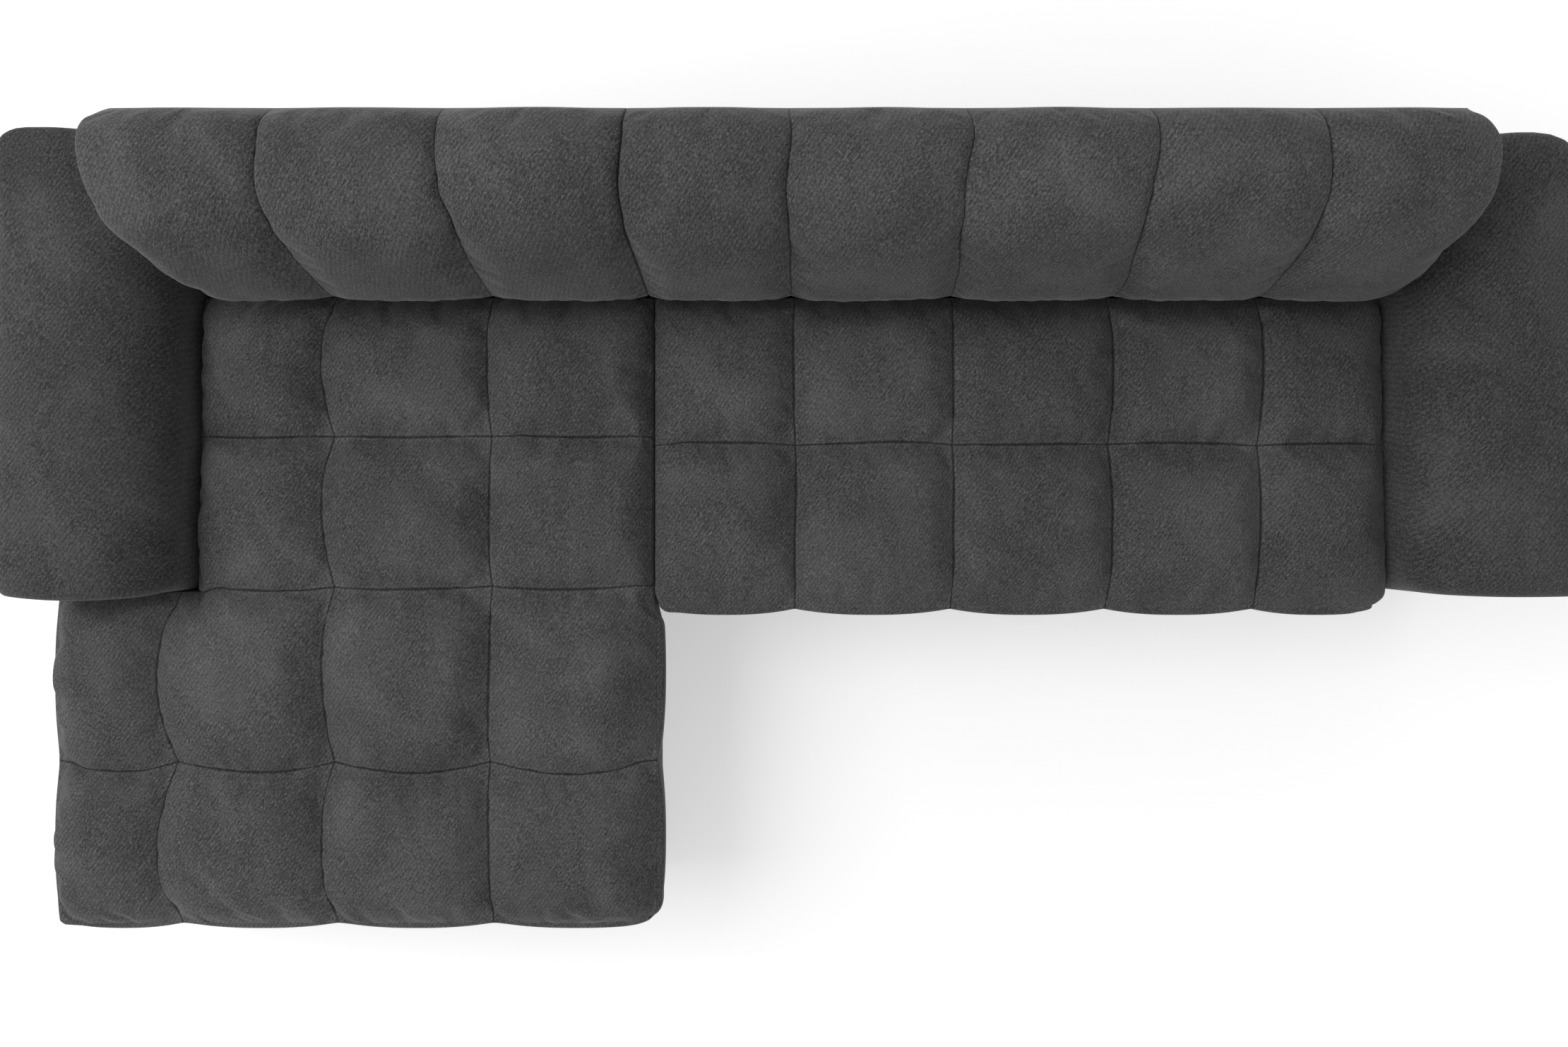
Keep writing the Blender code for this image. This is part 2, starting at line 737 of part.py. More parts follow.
# Main seat frame: four rails on edge, springs across them and a felt pad on top
main_box_left = base_right_edge
main_box_right = x_arm_right - gap
rail_front = y_main_base_front + cover + gap
spring_level = base_top - spring_wire
rail_bottom = foot_height
front_rail_y = (rail_front, rail_front + rail_thickness)
rear_rail_y = (y_back_pad_rear - gap - rail_thickness, y_back_pad_rear - gap)
add_block("main_front_rail", (main_box_left, front_rail_y[0], rail_bottom),
          (main_box_right, front_rail_y[1], spring_level - gap), pine_wood)
add_block("main_rear_rail", (main_box_left, rear_rail_y[0], rail_bottom),
          (main_box_right, rear_rail_y[1], spring_level - gap), pine_wood)
left_rail = add_block("main_left_rail", (main_box_left, front_rail_y[1] + gap, rail_bottom),
                      (main_box_left + rail_thickness, rear_rail_y[0] - gap, spring_level - gap),
                      pine_wood)
add_block("main_right_rail", (main_box_right - rail_thickness, front_rail_y[1] + gap, rail_bottom),
          (main_box_right, rear_rail_y[0] - gap, spring_level - gap), pine_wood)
dust_cover_bottom = foot_height - gap - dust_cover_thickness
add_block("main_dust_cover", (main_box_left, rail_front, dust_cover_bottom),
          (main_box_right, y_post, foot_height - gap), black_cloth)
add_block("main_base_cover", (main_box_left, y_main_base_front, foot_height),
          (main_box_right, y_main_base_front + cover, base_top), charcoal_velour)
add_block("main_spring_pad", (unit_right_edge, rail_front, base_top + gap),
          (main_box_right, y_seat_rear, seat_bottom - gap), grey_felt)


def add_spring(index):
    """A flat zig-zag spring with round turns, lying across the front and rear rails."""
    x = main_box_left + (main_box_right - main_box_left) * (index + 1) / (spring_count + 1)
    start = front_rail_y[0] + spring_seat
    stop = rear_rail_y[1] - spring_seat
    pitch = (stop - start) / spring_turns
    points = []
    for turn in range(spring_turns):
        swing = spring_half_width * (1 if turn % 2 == 0 else -1)
        y = start + pitch * turn
        points.append((x, y))
        for along, across in spring_wave_shares:
            points.append((x + swing * across, y + pitch * along))
    points.append((x, stop))
    name = "seat_spring_" + str(index + 1)
    curve = bpy.data.curves.new(name, "CURVE")
    curve.dimensions = "3D"
    curve.bevel_depth = spring_wire / 2
    curve.bevel_resolution = 0
    curve.use_fill_caps = True
    spline = curve.splines.new("POLY")
    spline.points.add(len(points) - 1)
    for point, (px, py) in zip(spline.points, points):
        point.co = (px, py, base_top - spring_wire / 2, 1)
    made = bpy.data.objects.new(name, curve)
    made.data.materials.append(spring_steel)
    bpy.context.scene.collection.objects.link(made)


for spring_index in range(spring_count):
    add_spring(spring_index)


# Two bolts through the side boards where the units meet
def add_drum(form, low_x, high_x, y, z, radius):
    made = bmesh.ops.create_cone(form, cap_ends=True, segments=12, radius1=radius,
                                 radius2=radius, depth=high_x - low_x)["verts"]
    bmesh.ops.rotate(form, matrix=Matrix.Rotation(math.radians(90), 3, "Y"), verts=made)
    bmesh.ops.translate(form, vec=((low_x + high_x) / 2, y, z), verts=made)


def add_unit_bolt(name, y):
    low = box_right - board - gap
    high = main_box_left + rail_thickness + gap
    profile = [(low - bolt_head, 0), (low - bolt_head, bolt_head_radius), (low, bolt_head_radius),
               (low, bolt_radius), (high, bolt_radius), (high, bolt_head_radius),
               (high + bolt_head, bolt_head_radius), (high + bolt_head, 0)]
    turned = bmesh.new()
    points = [turned.verts.new((x, y, bolt_height + radius)) for x, radius in profile]
    edges = [turned.edges.new(pair) for pair in zip(points, points[1:])]
    bmesh.ops.spin(turned, geom=points + edges, cent=(0, y, bolt_height), axis=(1, 0, 0),
                   angle=math.radians(360), steps=12, use_merge=True)
    bmesh.ops.remove_doubles(turned, verts=turned.verts, dist=bolt_merge)
    add_object(name, mesh_from(turned, name), zinc_steel)
    hole = bmesh.new()
    add_drum(hole, low - overrun, high + overrun, y, bolt_height, bolt_radius + pin_gap)
    tool = add_object(name + "_hole", mesh_from(hole, name + "_hole"), zinc_steel)
    cut_with(right_board, [tool])
    cut_with(left_rail, [tool])


add_unit_bolt("unit_bolt_front", front_rail_y[1] + bolt_inset)
add_unit_bolt("unit_bolt_rear", lid_rest_rear - rear_bolt_inset)


# Feet: turned plastic cones under the corners of each unit
def add_foot(name, x, y, top):
    form = bmesh.new()
    bmesh.ops.create_cone(form, cap_ends=True, segments=16, radius1=foot_tip_radius,
                          radius2=foot_radius, depth=top)
    bmesh.ops.translate(form, vec=(x, y, top / 2), verts=form.verts)
    add_object(name, mesh_from(form, name), black_plastic)


foot_top = foot_height - gap
main_foot_top = dust_cover_bottom - gap
add_foot("chaise_foot_front_left", box_left + foot_inset, box_front + foot_inset, foot_top)
add_foot("chaise_foot_front_right", box_right - foot_inset, box_front + foot_inset, foot_top)
add_foot("chaise_foot_rear_left", box_arm_side + foot_inset, box_frame_rear - foot_inset, foot_top)
add_foot("chaise_foot_rear_right", box_right - foot_inset, box_frame_rear - foot_inset, foot_top)
add_foot("main_foot_front_left", main_box_left + foot_inset, rail_front + foot_inset, main_foot_top)
add_foot("main_foot_front_right", main_box_right - foot_inset, rail_front + foot_inset,
         main_foot_top)
add_foot("main_foot_rear_left", main_box_left + foot_inset, rear_rail_y[1] - foot_inset,
         main_foot_top)
add_foot("main_foot_rear_right", main_box_right - foot_inset, rear_rail_y[1] - foot_inset,
         main_foot_top)
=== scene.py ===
"""Looks of the sofa with chaise: quilted charcoal velour over a wooden frame, with a lift-up chaise seat.

Metres, +Z up, the front faces -Y and the chaise is on the -X side.
"""
import math

import bmesh
import bpy
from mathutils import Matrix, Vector, noise


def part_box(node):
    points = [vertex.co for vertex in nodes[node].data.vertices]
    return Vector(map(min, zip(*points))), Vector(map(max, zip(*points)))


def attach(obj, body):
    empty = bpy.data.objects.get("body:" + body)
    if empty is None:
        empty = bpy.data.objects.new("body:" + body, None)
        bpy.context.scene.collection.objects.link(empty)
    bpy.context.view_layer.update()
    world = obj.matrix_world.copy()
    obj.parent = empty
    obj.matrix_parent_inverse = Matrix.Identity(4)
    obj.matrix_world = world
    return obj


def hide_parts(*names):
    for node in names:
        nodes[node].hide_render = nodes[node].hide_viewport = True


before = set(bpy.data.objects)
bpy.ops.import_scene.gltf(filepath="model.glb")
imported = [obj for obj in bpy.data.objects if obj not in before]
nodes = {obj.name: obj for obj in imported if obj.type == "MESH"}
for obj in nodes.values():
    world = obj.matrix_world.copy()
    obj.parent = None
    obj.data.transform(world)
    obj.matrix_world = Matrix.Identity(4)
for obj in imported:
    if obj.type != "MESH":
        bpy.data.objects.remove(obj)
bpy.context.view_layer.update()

# Feet. Eight turned feet of black plastic, one under each corner of a unit.
# Each has a flat tip, a hollow flank and a rolled rim under the frame, and is screwed up from below.
foot_names = [unit + "_foot_" + end + "_" + side
              for unit in ("chaise", "main") for end in ("front", "rear") for side in ("left", "right")]
# radius, height
foot_profile = [(0.0, 0.0), (0.0155, 0.0), (0.0185, 0.0008), (0.0200, 0.003), (0.0203, 0.008),
                (0.0215, 0.020), (0.0238, 0.032), (0.0262, 0.0405), (0.0272, 0.0435),
                (0.0280, 0.0455), (0.0278, 0.0475), (0.0262, 0.0486), (0.0, 0.0486)]
foot_steps = 48
foot_dark = (0.014, 0.014, 0.015)
foot_light = (0.026, 0.026, 0.027)
merge_distance = 0.00005


def start_finish(name, colour, roughness, metallic=0.0):
    """A new material with its shader, and the object's own coordinates."""
    finish = bpy.data.materials.new(name)
    finish.use_nodes = True
    tree = finish.node_tree
    shader = tree.nodes["Principled BSDF"]
    shader.inputs["Base Color"].default_value = (*colour, 1)
    shader.inputs["Roughness"].default_value = roughness
    shader.inputs["Metallic"].default_value = metallic
    place = tree.nodes.new("ShaderNodeTexCoord").outputs["Object"]
    return finish, tree, shader, place


def turned(tree, place, angles, stretch):
    """The place seen along turned axes and stretched along them, for grain and streaks."""
    mapping = tree.nodes.new("ShaderNodeMapping")
    mapping.vector_type = "TEXTURE"
    mapping.inputs["Rotation"].default_value = [math.radians(angle) for angle in angles]
    mapping.inputs["Scale"].default_value = stretch
    tree.links.new(place, mapping.inputs["Vector"])
    return mapping.outputs["Vector"]


def grain(tree, place, scale, detail, distortion=0.0):
    made = tree.nodes.new("ShaderNodeTexNoise")
    made.inputs["Scale"].default_value = scale
    made.inputs["Detail"].default_value = detail
    made.inputs["Distortion"].default_value = distortion
    tree.links.new(place, made.inputs["Vector"])
    return made.outputs["Fac"]


def cells(tree, place, scale):
    made = tree.nodes.new("ShaderNodeTexVoronoi")
    made.inputs["Scale"].default_value = scale
    tree.links.new(place, made.inputs["Vector"])
    return made


def tinted(tree, factor, stops):
    """Colours by factor: each stop is a place from 0 to 1 and a colour."""
    ramp = tree.nodes.new("ShaderNodeValToRGB")
    elements = ramp.color_ramp.elements
    while len(elements) < len(stops):
        elements.new(1.0)
    for element, (at, colour) in zip(elements, stops):
        element.position = at
        element.color = (*colour, 1)
    tree.links.new(factor, ramp.inputs["Fac"])
    return ramp.outputs["Color"]


def worked(tree, kind, first, second):
    """A sum, product or other function of two values."""
    node = tree.nodes.new("ShaderNodeMath")
    node.operation = kind
    for socket, value in zip(node.inputs, (first, second)):
        if isinstance(value, (int, float)):
            socket.default_value = value
        else:
            tree.links.new(value, socket)
    return node.outputs["Value"]


def weighted(tree, *parts):
    """The sum of some values, each times its weight."""
    total = None
    for value, weight in parts:
        part = worked(tree, "MULTIPLY", value, weight)
        total = worked(tree, "ADD", total, part) if total else part
    return total


def coloured(tree, shader, factor, stops):
    tree.links.new(tinted(tree, factor, stops), shader.inputs["Base Color"])


def raised(tree, shader, height, distance):
    bump = tree.nodes.new("ShaderNodeBump")
    bump.inputs["Strength"].default_value = 1.0
    bump.inputs["Distance"].default_value = distance
    tree.links.new(height, bump.inputs["Height"])
    tree.links.new(bump.outputs["Normal"], shader.inputs["Normal"])


def in_fixed_order(form):
    """Gives the form built again in one order, because extruding mixes its faces from run to run."""
    points = sorted(form.verts, key=lambda vert: tuple(vert.co))
    rank = {vert: place for place, vert in enumerate(points)}
    rings = []
    for face in form.faces:
        ring = [rank[vert] for vert in face.verts]
        first = ring.index(min(ring))
        rings.append(ring[first:] + ring[:first])
    ordered = bmesh.new()
    names = form.verts.layers.float.keys()
    for mark in names:
        ordered.verts.layers.float.new(mark)
    marks = [(form.verts.layers.float[mark], ordered.verts.layers.float[mark]) for mark in names]
    fresh = []
    for vert in points:
        fresh.append(ordered.verts.new(vert.co))
        for old, new in marks:
            fresh[-1][new] = vert[old]
    for ring in sorted(rings):
        ordered.faces.new([fresh[place] for place in ring])
    form.free()
    return ordered


def finished(form, name, finish, body, smooth_angle=35):
    """Turns a modelled form into a piece that rides on its body."""
    bmesh.ops.recalc_face_normals(form, faces=form.faces)
    form = in_fixed_order(form)
    mesh = bpy.data.meshes.new(name)
    form.to_mesh(mesh)
    form.free()
    mesh.shade_smooth()
    if smooth_angle:
        mesh.set_sharp_from_angle(angle=math.radians(smooth_angle))
    mesh.materials.append(finish)
    piece = bpy.data.objects.new(name, mesh)
    bpy.context.scene.collection.objects.link(piece)
    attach(piece, body)
    return piece


def dressed(names, finish):
    """Gives CAD nodes whose shape is right their finish."""
    for name in names:
        nodes[name].data.materials.clear()
        nodes[name].data.materials.append(finish)


foot_plastic, tree, shader, place = start_finish("foot plastic", (0.018, 0.018, 0.019), 0.42)
coloured(tree, shader, grain(tree, place, 60, 4), [(0.3, foot_dark), (0.7, foot_light)])
raised(tree, shader, grain(tree, place, 900, 3), 0.0002)
for name in foot_names:
    low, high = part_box(name)
    centre = ((low.x + high.x) / 2, (low.y + high.y) / 2)
    form = bmesh.new()
    points = [form.verts.new((centre[0] + radius, centre[1], height)) for radius, height in foot_profile]
    edges = [form.edges.new(pair) for pair in zip(points, points[1:])]
    bmesh.ops.spin(form, geom=points + edges, cent=(*centre, 0), axis=(0, 0, 1),
                   angle=math.radians(360), steps=foot_steps, use_merge=True)
    bmesh.ops.remove_doubles(form, verts=form.verts, dist=merge_distance)
    foot = finished(form, name + "_turned", foot_plastic, "frame")
    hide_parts(name)

# Boards. The storage box, the back boards and the arm boards are raw chipboard: pressed flakes
# with a closed face, sawn to size, butted and stapled at the corners.
chip_dark = (0.30, 0.20, 0.115)
chip_mid = (0.47, 0.345, 0.215)
chip_light = (0.60, 0.47, 0.32)
chip, tree, shader, place = start_finish("raw chipboard", (0.5, 0.38, 0.25), 0.8)
flakes = cells(tree, turned(tree, place, (20, 35, 50), (1, 1, 1)), 190)
shade = weighted(tree, (flakes.outputs["Color"], 0.6), (grain(tree, place, 14, 5), 0.4))
coloured(tree, shader, shade, [(0.2, chip_dark), (0.5, chip_mid), (0.8, chip_light)])
raised(tree, shader, worked(tree, "ADD", flakes.outputs["Distance"], grain(tree, place, 500, 2)), 0.0004)
dressed(["chaise_front_board", "chaise_left_board", "chaise_step_board", "chaise_arm_side_board",
         "chaise_right_board", "chaise_rear_board", "chaise_back_board", "main_back_board",
         "left_arm_outer_board", "left_arm_inner_board", "left_arm_top_board",
         "right_arm_outer_board", "right_arm_inner_board", "right_arm_top_board"], chip)

# Posts, rails and the lid. Planed pine, glued and screwed: posts and top rail behind each back
# cushion, four rails on edge round the main seat, and the lid board that the chaise cushion lies on.
pine_light = (0.69, 0.52, 0.32)
pine_mid = (0.58, 0.405, 0.225)
pine_dark = (0.40, 0.245, 0.12)
pine, tree, shader, place = start_finish("planed pine", (0.62, 0.45, 0.27), 0.55)
rings = tree.nodes.new("ShaderNodeTexWave")
rings.wave_type = "RINGS"
rings.rings_direction = "X"
rings.inputs["Scale"].default_value = 1.3
rings.inputs["Distortion"].default_value = 3.5
rings.inputs["Detail"].default_value = 3
rings.inputs["Detail Scale"].default_value = 1.6
tree.links.new(turned(tree, place, (0, 0, 0), (0.83, 0.045, 0.045)), rings.inputs["Vector"])
pores = grain(tree, turned(tree, place, (0, 0, 0), (0.083, 0.0024, 0.0024)), 1, 4)
wood = weighted(tree, (rings.outputs["Fac"], 0.55), (pores, 0.45))
coloured(tree, shader, wood, [(0.15, pine_light), (0.55, pine_mid), (0.9, pine_dark)])
raised(tree, shader, wood, 0.0003)
dressed(["chaise_lid_board", "main_front_rail", "main_rear_rail", "main_left_rail",
         "main_right_rail", "chaise_back_left_post", "chaise_back_right_post",
         "chaise_back_top_rail", "main_back_left_post", "main_back_right_post",
         "main_back_top_rail"], pine)

# Springs, felt and box floor. Four zig-zag springs of drawn steel wire run from the front rail to
# the rear rail, under a felt pad. The floor of the storage box is a thin board faced with grey felt.
wire_dark = (0.20, 0.20, 0.205)
wire_light = (0.36, 0.36, 0.37)
felt_dark = (0.17, 0.17, 0.175)
felt_mid = (0.27, 0.27, 0.275)
felt_light = (0.42, 0.42, 0.425)
wire_steel, tree, shader, place = start_finish("drawn wire", (0.30, 0.30, 0.31), 0.38, 1.0)
coloured(tree, shader, grain(tree, place, 180, 4), [(0.3, wire_dark), (0.7, wire_light)])
dressed(["seat_spring_1", "seat_spring_2", "seat_spring_3", "seat_spring_4"], wire_steel)
felt, tree, shader, place = start_finish("needled felt", (0.28, 0.28, 0.285), 0.95)
fibres = grain(tree, turned(tree, place, (0, 0, 30), (1, 4, 1)), 700, 5, 1.5)
coloured(tree, shader, fibres, [(0.3, felt_dark), (0.55, felt_mid), (0.75, felt_light)])
raised(tree, shader, fibres, 0.001)
dressed(["main_spring_pad", "chaise_floor_board"], felt)

# Dust cover. Thin black spunbond cloth, stapled under the main seat frame and pulled flat.
spunbond_dark = (0.014, 0.014, 0.014)
spunbond_light = (0.045, 0.045, 0.046)
spunbond, tree, shader, place = start_finish("spunbond cloth", (0.03, 0.03, 0.03), 0.9)
dots = cells(tree, place, 420).outputs["Distance"]
coloured(tree, shader, dots, [(0.1, spunbond_dark), (0.6, spunbond_light)])
raised(tree, shader, dots, 0.0005)
dressed(["main_dust_cover"], spunbond)
low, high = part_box("main_dust_cover")

# Lift linkages and unit bolts. Pressed steel with a zinc plating: on each side of the storage box a
# base plate on the board, two links on pins, and a bracket under the lid. Two bolts join the units.
zinc_dark = (0.47, 0.47, 0.46)
zinc_light = (0.70, 0.70, 0.68)
zinc, tree, shader, place = start_finish("zinc plating", (0.62, 0.62, 0.60), 0.34, 1.0)
spangle = cells(tree, place, 160).outputs["Color"]
cloud = weighted(tree, (spangle, 0.5), (grain(tree, place, 45, 4), 0.5))
coloured(tree, shader, cloud, [(0.25, zinc_dark), (0.75, zinc_light)])
dullness = worked(tree, "ADD", worked(tree, "MULTIPLY", cloud, 0.25), 0.25)
tree.links.new(dullness, shader.inputs["Roughness"])
raised(tree, shader, grain(tree, turned(tree, place, (0, 0, 0), (1, 1, 10)), 600, 2), 0.0001)
for side in ("left", "right"):
    dressed([side + "_lifter_base_plate", side + "_lifter_front_link", side + "_lifter_rear_link",
             side + "_lifter_seat_bracket"], zinc)
dressed(["unit_bolt_front", "unit_bolt_rear"], zinc)

# Base and rear covers. The same charcoal velour as the cushions, pulled tight round the box, along
# the main front rail and round the back of each unit, and stapled under the bottom edges.
velour_thickness = 0.0022
cover_inset = 0.0005
cover_step = 0.02
cover_corner = (0.0, 0.004)
cover_hem = (0.0, 0.003)
cover_wave = 0.0005
calm_corner = 0.03
end_stand_off = 0.0028
end_wrap = 0.110
rear_cover_rise = 0.004
pile_dark = (0.029, 0.029, 0.0293)
pile_mid = (0.066, 0.066, 0.0665)
pile_light = (0.130, 0.130, 0.131)
pile_scale = 560
twill_scale = 760
twill_across = (-0.95, 0.66, 0.12)
velour, tree, shader, place = start_finish("charcoal velour", (0.06, 0.06, 0.06), 0.9)
shader.inputs["Sheen Weight"].default_value = 0.20
shader.inputs["Sheen Roughness"].default_value = 0.4
shader.inputs["Sheen Tint"].default_value = (0.9, 0.9, 0.9, 1)
shader.inputs["Specular IOR Level"].default_value = 0.2
# Fine fibres, and streaks that lean one way or, in brushed patches, the other.
fibres = grain(tree, turned(tree, place, (0, 0, -25), (1, 1.6, 2.8)), pile_scale, 1)
strokes = grain(tree, turned(tree, place, (0, 0, -33), (1, 3.0, 3.6)), pile_scale, 1)
crossed = grain(tree, turned(tree, place, (0, 0, 38), (1, 3.0, 3.6)), pile_scale, 1)
crush = grain(tree, turned(tree, place, (0, 30, 25), (1, 1.7, 1.4)), 9, 1, 1.0)
patches = grain(tree, place, 4, 1, 0.6)
which = tree.nodes.new("ShaderNodeMapRange")
which.inputs["From Min"].default_value = 0.50
which.inputs["From Max"].default_value = 0.62
tree.links.new(crush, which.inputs["Value"])
which = worked(tree, "MULTIPLY", which.outputs["Result"], 0.8)
turned_over = worked(tree, "MULTIPLY", which, worked(tree, "SUBTRACT", crossed, strokes))
brushed = worked(tree, "ADD", strokes, turned_over)
# Faint slanting lines of the ground weave.
across = tree.nodes.new("ShaderNodeVectorMath")
across.operation = "DOT_PRODUCT"
across.inputs[1].default_value = twill_across
tree.links.new(place, across.inputs[0])
waves = weighted(tree, (across.outputs["Value"], twill_scale), (grain(tree, place, 40, 2), 6))
twill = worked(tree, "MULTIPLY", worked(tree, "SINE", waves, 0.0), grain(tree, place, 90, 1))
pile = weighted(tree, (fibres, 0.24), (brushed, 0.60), (twill, 0.06))
stroked = weighted(tree, (crush, 0.16), (patches, 0.12))
pile_colour = tinted(tree, worked(tree, "ADD", pile, stroked),
                     [(0.42, pile_dark), (0.56, pile_mid), (0.70, pile_light)])
# The seam line is painted dark as shade in its groove, with a painted highlight on the stretched edge beside
# it.
seam = tree.nodes.new("ShaderNodeAttribute")
seam.attribute_name = "seam"
seam_shade_and_highlight = tinted(tree, seam.outputs["Fac"],
                     [(0.0, (1, 1, 1)), (0.50, (1, 1, 1)), (0.78, (1.15, 1.15, 1.15)),
                      (0.88, (0.95, 0.95, 0.95)), (0.94, (0.30, 0.30, 0.30))])
seam_shaded_colour = tree.nodes.new("ShaderNodeMix")
seam_shaded_colour.data_type = "RGBA"
seam_shaded_colour.blend_type = "MULTIPLY"
seam_shaded_colour.inputs["Factor"].default_value = 1.0
tree.links.new(pile_colour, seam_shaded_colour.inputs[6])
tree.links.new(seam_shade_and_highlight, seam_shaded_colour.inputs[7])
# A level that paints shade into the velour: 1 leaves it as it is, lower gives a darker copy.
painted_shade_level = tree.nodes.new("ShaderNodeHueSaturation")
painted_shade_level.name = "painted_shade_level"
tree.links.new(seam_shaded_colour.outputs[2], painted_shade_level.inputs["Color"])
tree.links.new(painted_shade_level.outputs["Color"], shader.inputs["Base Color"])
raised(tree, shader, pile, 0.0016)


def fine_run(start, stop, step, first=(), last=()):
    """Places from start to stop about a step apart, with closer ones as offsets from each end."""
    low = start + (first[-1] if first else 0.0)
    high = stop - (last[-1] if last else 0.0)
    count = max(1, round((high - low) / step))
    places = [start + offset for offset in first[:-1]]
    places += [low + (high - low) * index / count for index in range(count + 1)]
    return places + [stop - offset for offset in reversed(last[:-1])]


def laid_grid(lines_u, lines_v, marks):
    """A new grid of faces that carries the named marks, and each point's column and row in it."""
    form = bmesh.new()
    for mark in marks:
        form.verts.layers.float.new(mark)
    form.verts.layers.float_vector.new("outward")
    bmesh.ops.create_grid(form, x_segments=len(lines_u) - 1, y_segments=len(lines_v) - 1, size=1.0)
    found = []
    for vert in form.verts:
        column = round((vert.co.x + 1) / 2 * (len(lines_u) - 1))
        row = round((vert.co.y + 1) / 2 * (len(lines_v) - 1))
        found.append((vert, column, row))
    return form, found


def tight_cover(name, node, path, low_z, high_z):
    """A stretched strip of velour along a path seen from above, with its outside on the path's right."""
    runs = [(Vector(stop) - Vector(start)) for start, stop in zip(path, path[1:])]
    sides = [Vector((run.y, -run.x)).normalized() for run in runs]
    stations = []
    for index, run in enumerate(runs):
        places = fine_run(0.0, run.length, cover_step, cover_corner, cover_corner)
        for spot in places if index == len(runs) - 1 else places[:-1]:
            side = sides[index]
            if spot == 0.0 and index:
                side = sides[index] + sides[index - 1]
            near_corner = min(1.0, min(spot, run.length - spot) / calm_corner)
            stations.append((Vector(path[index]) + run.normalized() * spot, side, near_corner))
    heights = fine_run(low_z, high_z, cover_step, cover_hem, cover_hem)
    form, points = laid_grid(stations, heights, ())
    outward = form.verts.layers.float_vector["outward"]
    for vert, column, row in points:
        spot, side, near_corner = stations[column]
        wave = noise.noise(Vector((spot.x * 7, spot.y * 7, heights[row] * 16))) * cover_wave * near_corner
        vert.co = (spot.x + side.x * wave, spot.y + side.y * wave, heights[row])
        vert[outward] = (side.x, side.y, 0)
    pushed = bmesh.ops.extrude_face_region(form, geom=form.faces[:], use_keep_orig=True)["geom"]
    for vert in pushed:
        if isinstance(vert, bmesh.types.BMVert):
            vert.co -= vert[outward] * velour_thickness
    piece = finished(form, name, velour, "frame")
    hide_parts(node)


low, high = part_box("chaise_base_cover")
step_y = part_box("chaise_step_board")[1].y
tight_cover("chaise_base_velour", "chaise_base_cover",
            [(low.x + cover_inset, step_y), (low.x + cover_inset, low.y + cover_inset),
             (high.x - cover_inset, low.y + cover_inset), (high.x - cover_inset, high.y)],
            low.z, high.z)
low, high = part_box("main_base_cover")
tight_cover("main_base_velour", "main_base_cover",
            [(low.x, low.y + cover_inset), (high.x + end_stand_off, low.y + cover_inset),
             (high.x + end_stand_off, low.y + end_wrap)],
            low.z, high.z)
low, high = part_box("chaise_back_rear_cover")
tight_cover("chaise_rear_velour", "chaise_back_rear_cover",
            [(high.x, high.y - cover_inset), (low.x + cover_inset, high.y - cover_inset),
             (low.x + cover_inset, low.y)],
            low.z, high.z + rear_cover_rise)
low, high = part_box("main_back_rear_cover")
tight_cover("main_rear_velour", "main_back_rear_cover",
            [(high.x - cover_inset, low.y), (high.x - cover_inset, high.y - cover_inset),
             (low.x, high.y - cover_inset)],
            low.z, high.z + rear_cover_rise)

# Seat cushions. Foam pads under wadding and velour, sewn through in squares: four rows of four
# (three beside the arm) on the chaise, two rows of five on the main unit. The free edges roll over
# and swell between the seams, and a hem wraps the edge below. Glued to the lid and to the felt.
seam_height = 0.415
seat_puff = 0.028
seam_rise = 0.20
cell_fullness = 0.42
swell_power = 2.4
bow_out_x, bow_out_y = 0.007, 0.006
edge_roll, edge_roll_reach = 0.021, 0.12
side_tuck, side_tuck_reach = 0.020, 0.030
flat_edge_reach = 0.05
straight_reach = 0.07
unevenness = 0.006
seam_mark_width = 0.015
side_swell = 0.0145
swell_at_seam = 0.12
side_swell_top = 0.09
corner_run = 0.6
corner_square = 0.8
hem_drop = 0.0181
hem_turn = 0.0065
arm_draw_back = 0.012
arm_draw_start, arm_draw_run = 0.491, 0.584
mesh_step = 0.0098
seam_lines = (0.0, 0.003, 0.0085)
free_lines = (0.0, 0.0015, 0.0045, 0.0095, 0.016, 0.024, 0.033)
held_lines = (0.0, 0.001, 0.0035, 0.008, 0.0145, 0.0225, 0.031)
side_levels = (0.03, 0.075, 0.14, 0.22, 0.32, 0.43, 0.55, 0.67, 0.79, 0.90, 0.96, 1.0)


def swell(share):
    return max(0.0, 1 - abs(2 * share - 1) ** swell_power)


def eased(value):
    value = min(1.0, max(0.0, value))
    return value * value * (3 - 2 * value)


def between(value, seams):
    """A place's share between its two seams, how far the nearer seam is, and which cell it is in."""
    for index, (first, last) in enumerate(zip(seams, seams[1:])):
        if value <= last or last == seams[-1]:
            value = min(max(value, first), last)
            return (value - first) / (last - first), min(value - first, last - value), index


def quilt_lines(seams, first, last):
    places = []
    for index, (start, stop) in enumerate(zip(seams, seams[1:])):
        low_end = first if index == 0 else seam_lines
        high_end = last if index == len(seams) - 2 else seam_lines
        places += fine_run(start, stop, mesh_step, low_end, high_end)[:-1]
    return places + [seams[-1]]


def arm_slant(y):
    """How far the arms' inner faces have drawn back from the seats at this depth."""
    return arm_draw_back * min(1.0, max(0.0, (arm_draw_start - y) / arm_draw_run))


def rim_sides(form):
    """For each point on the pad's rim, the ways that its edges face."""
    rim = {}
    for edge in form.edges:
        if edge.is_boundary:
            middle = (edge.verts[0].co + edge.verts[1].co) / 2
            side = (middle - edge.link_faces[0].calc_center_median()).normalized()
            side = Vector((round(side.x), round(side.y), 0))
            for vert in edge.verts:
                rim.setdefault(vert, []).append(side)
    return rim


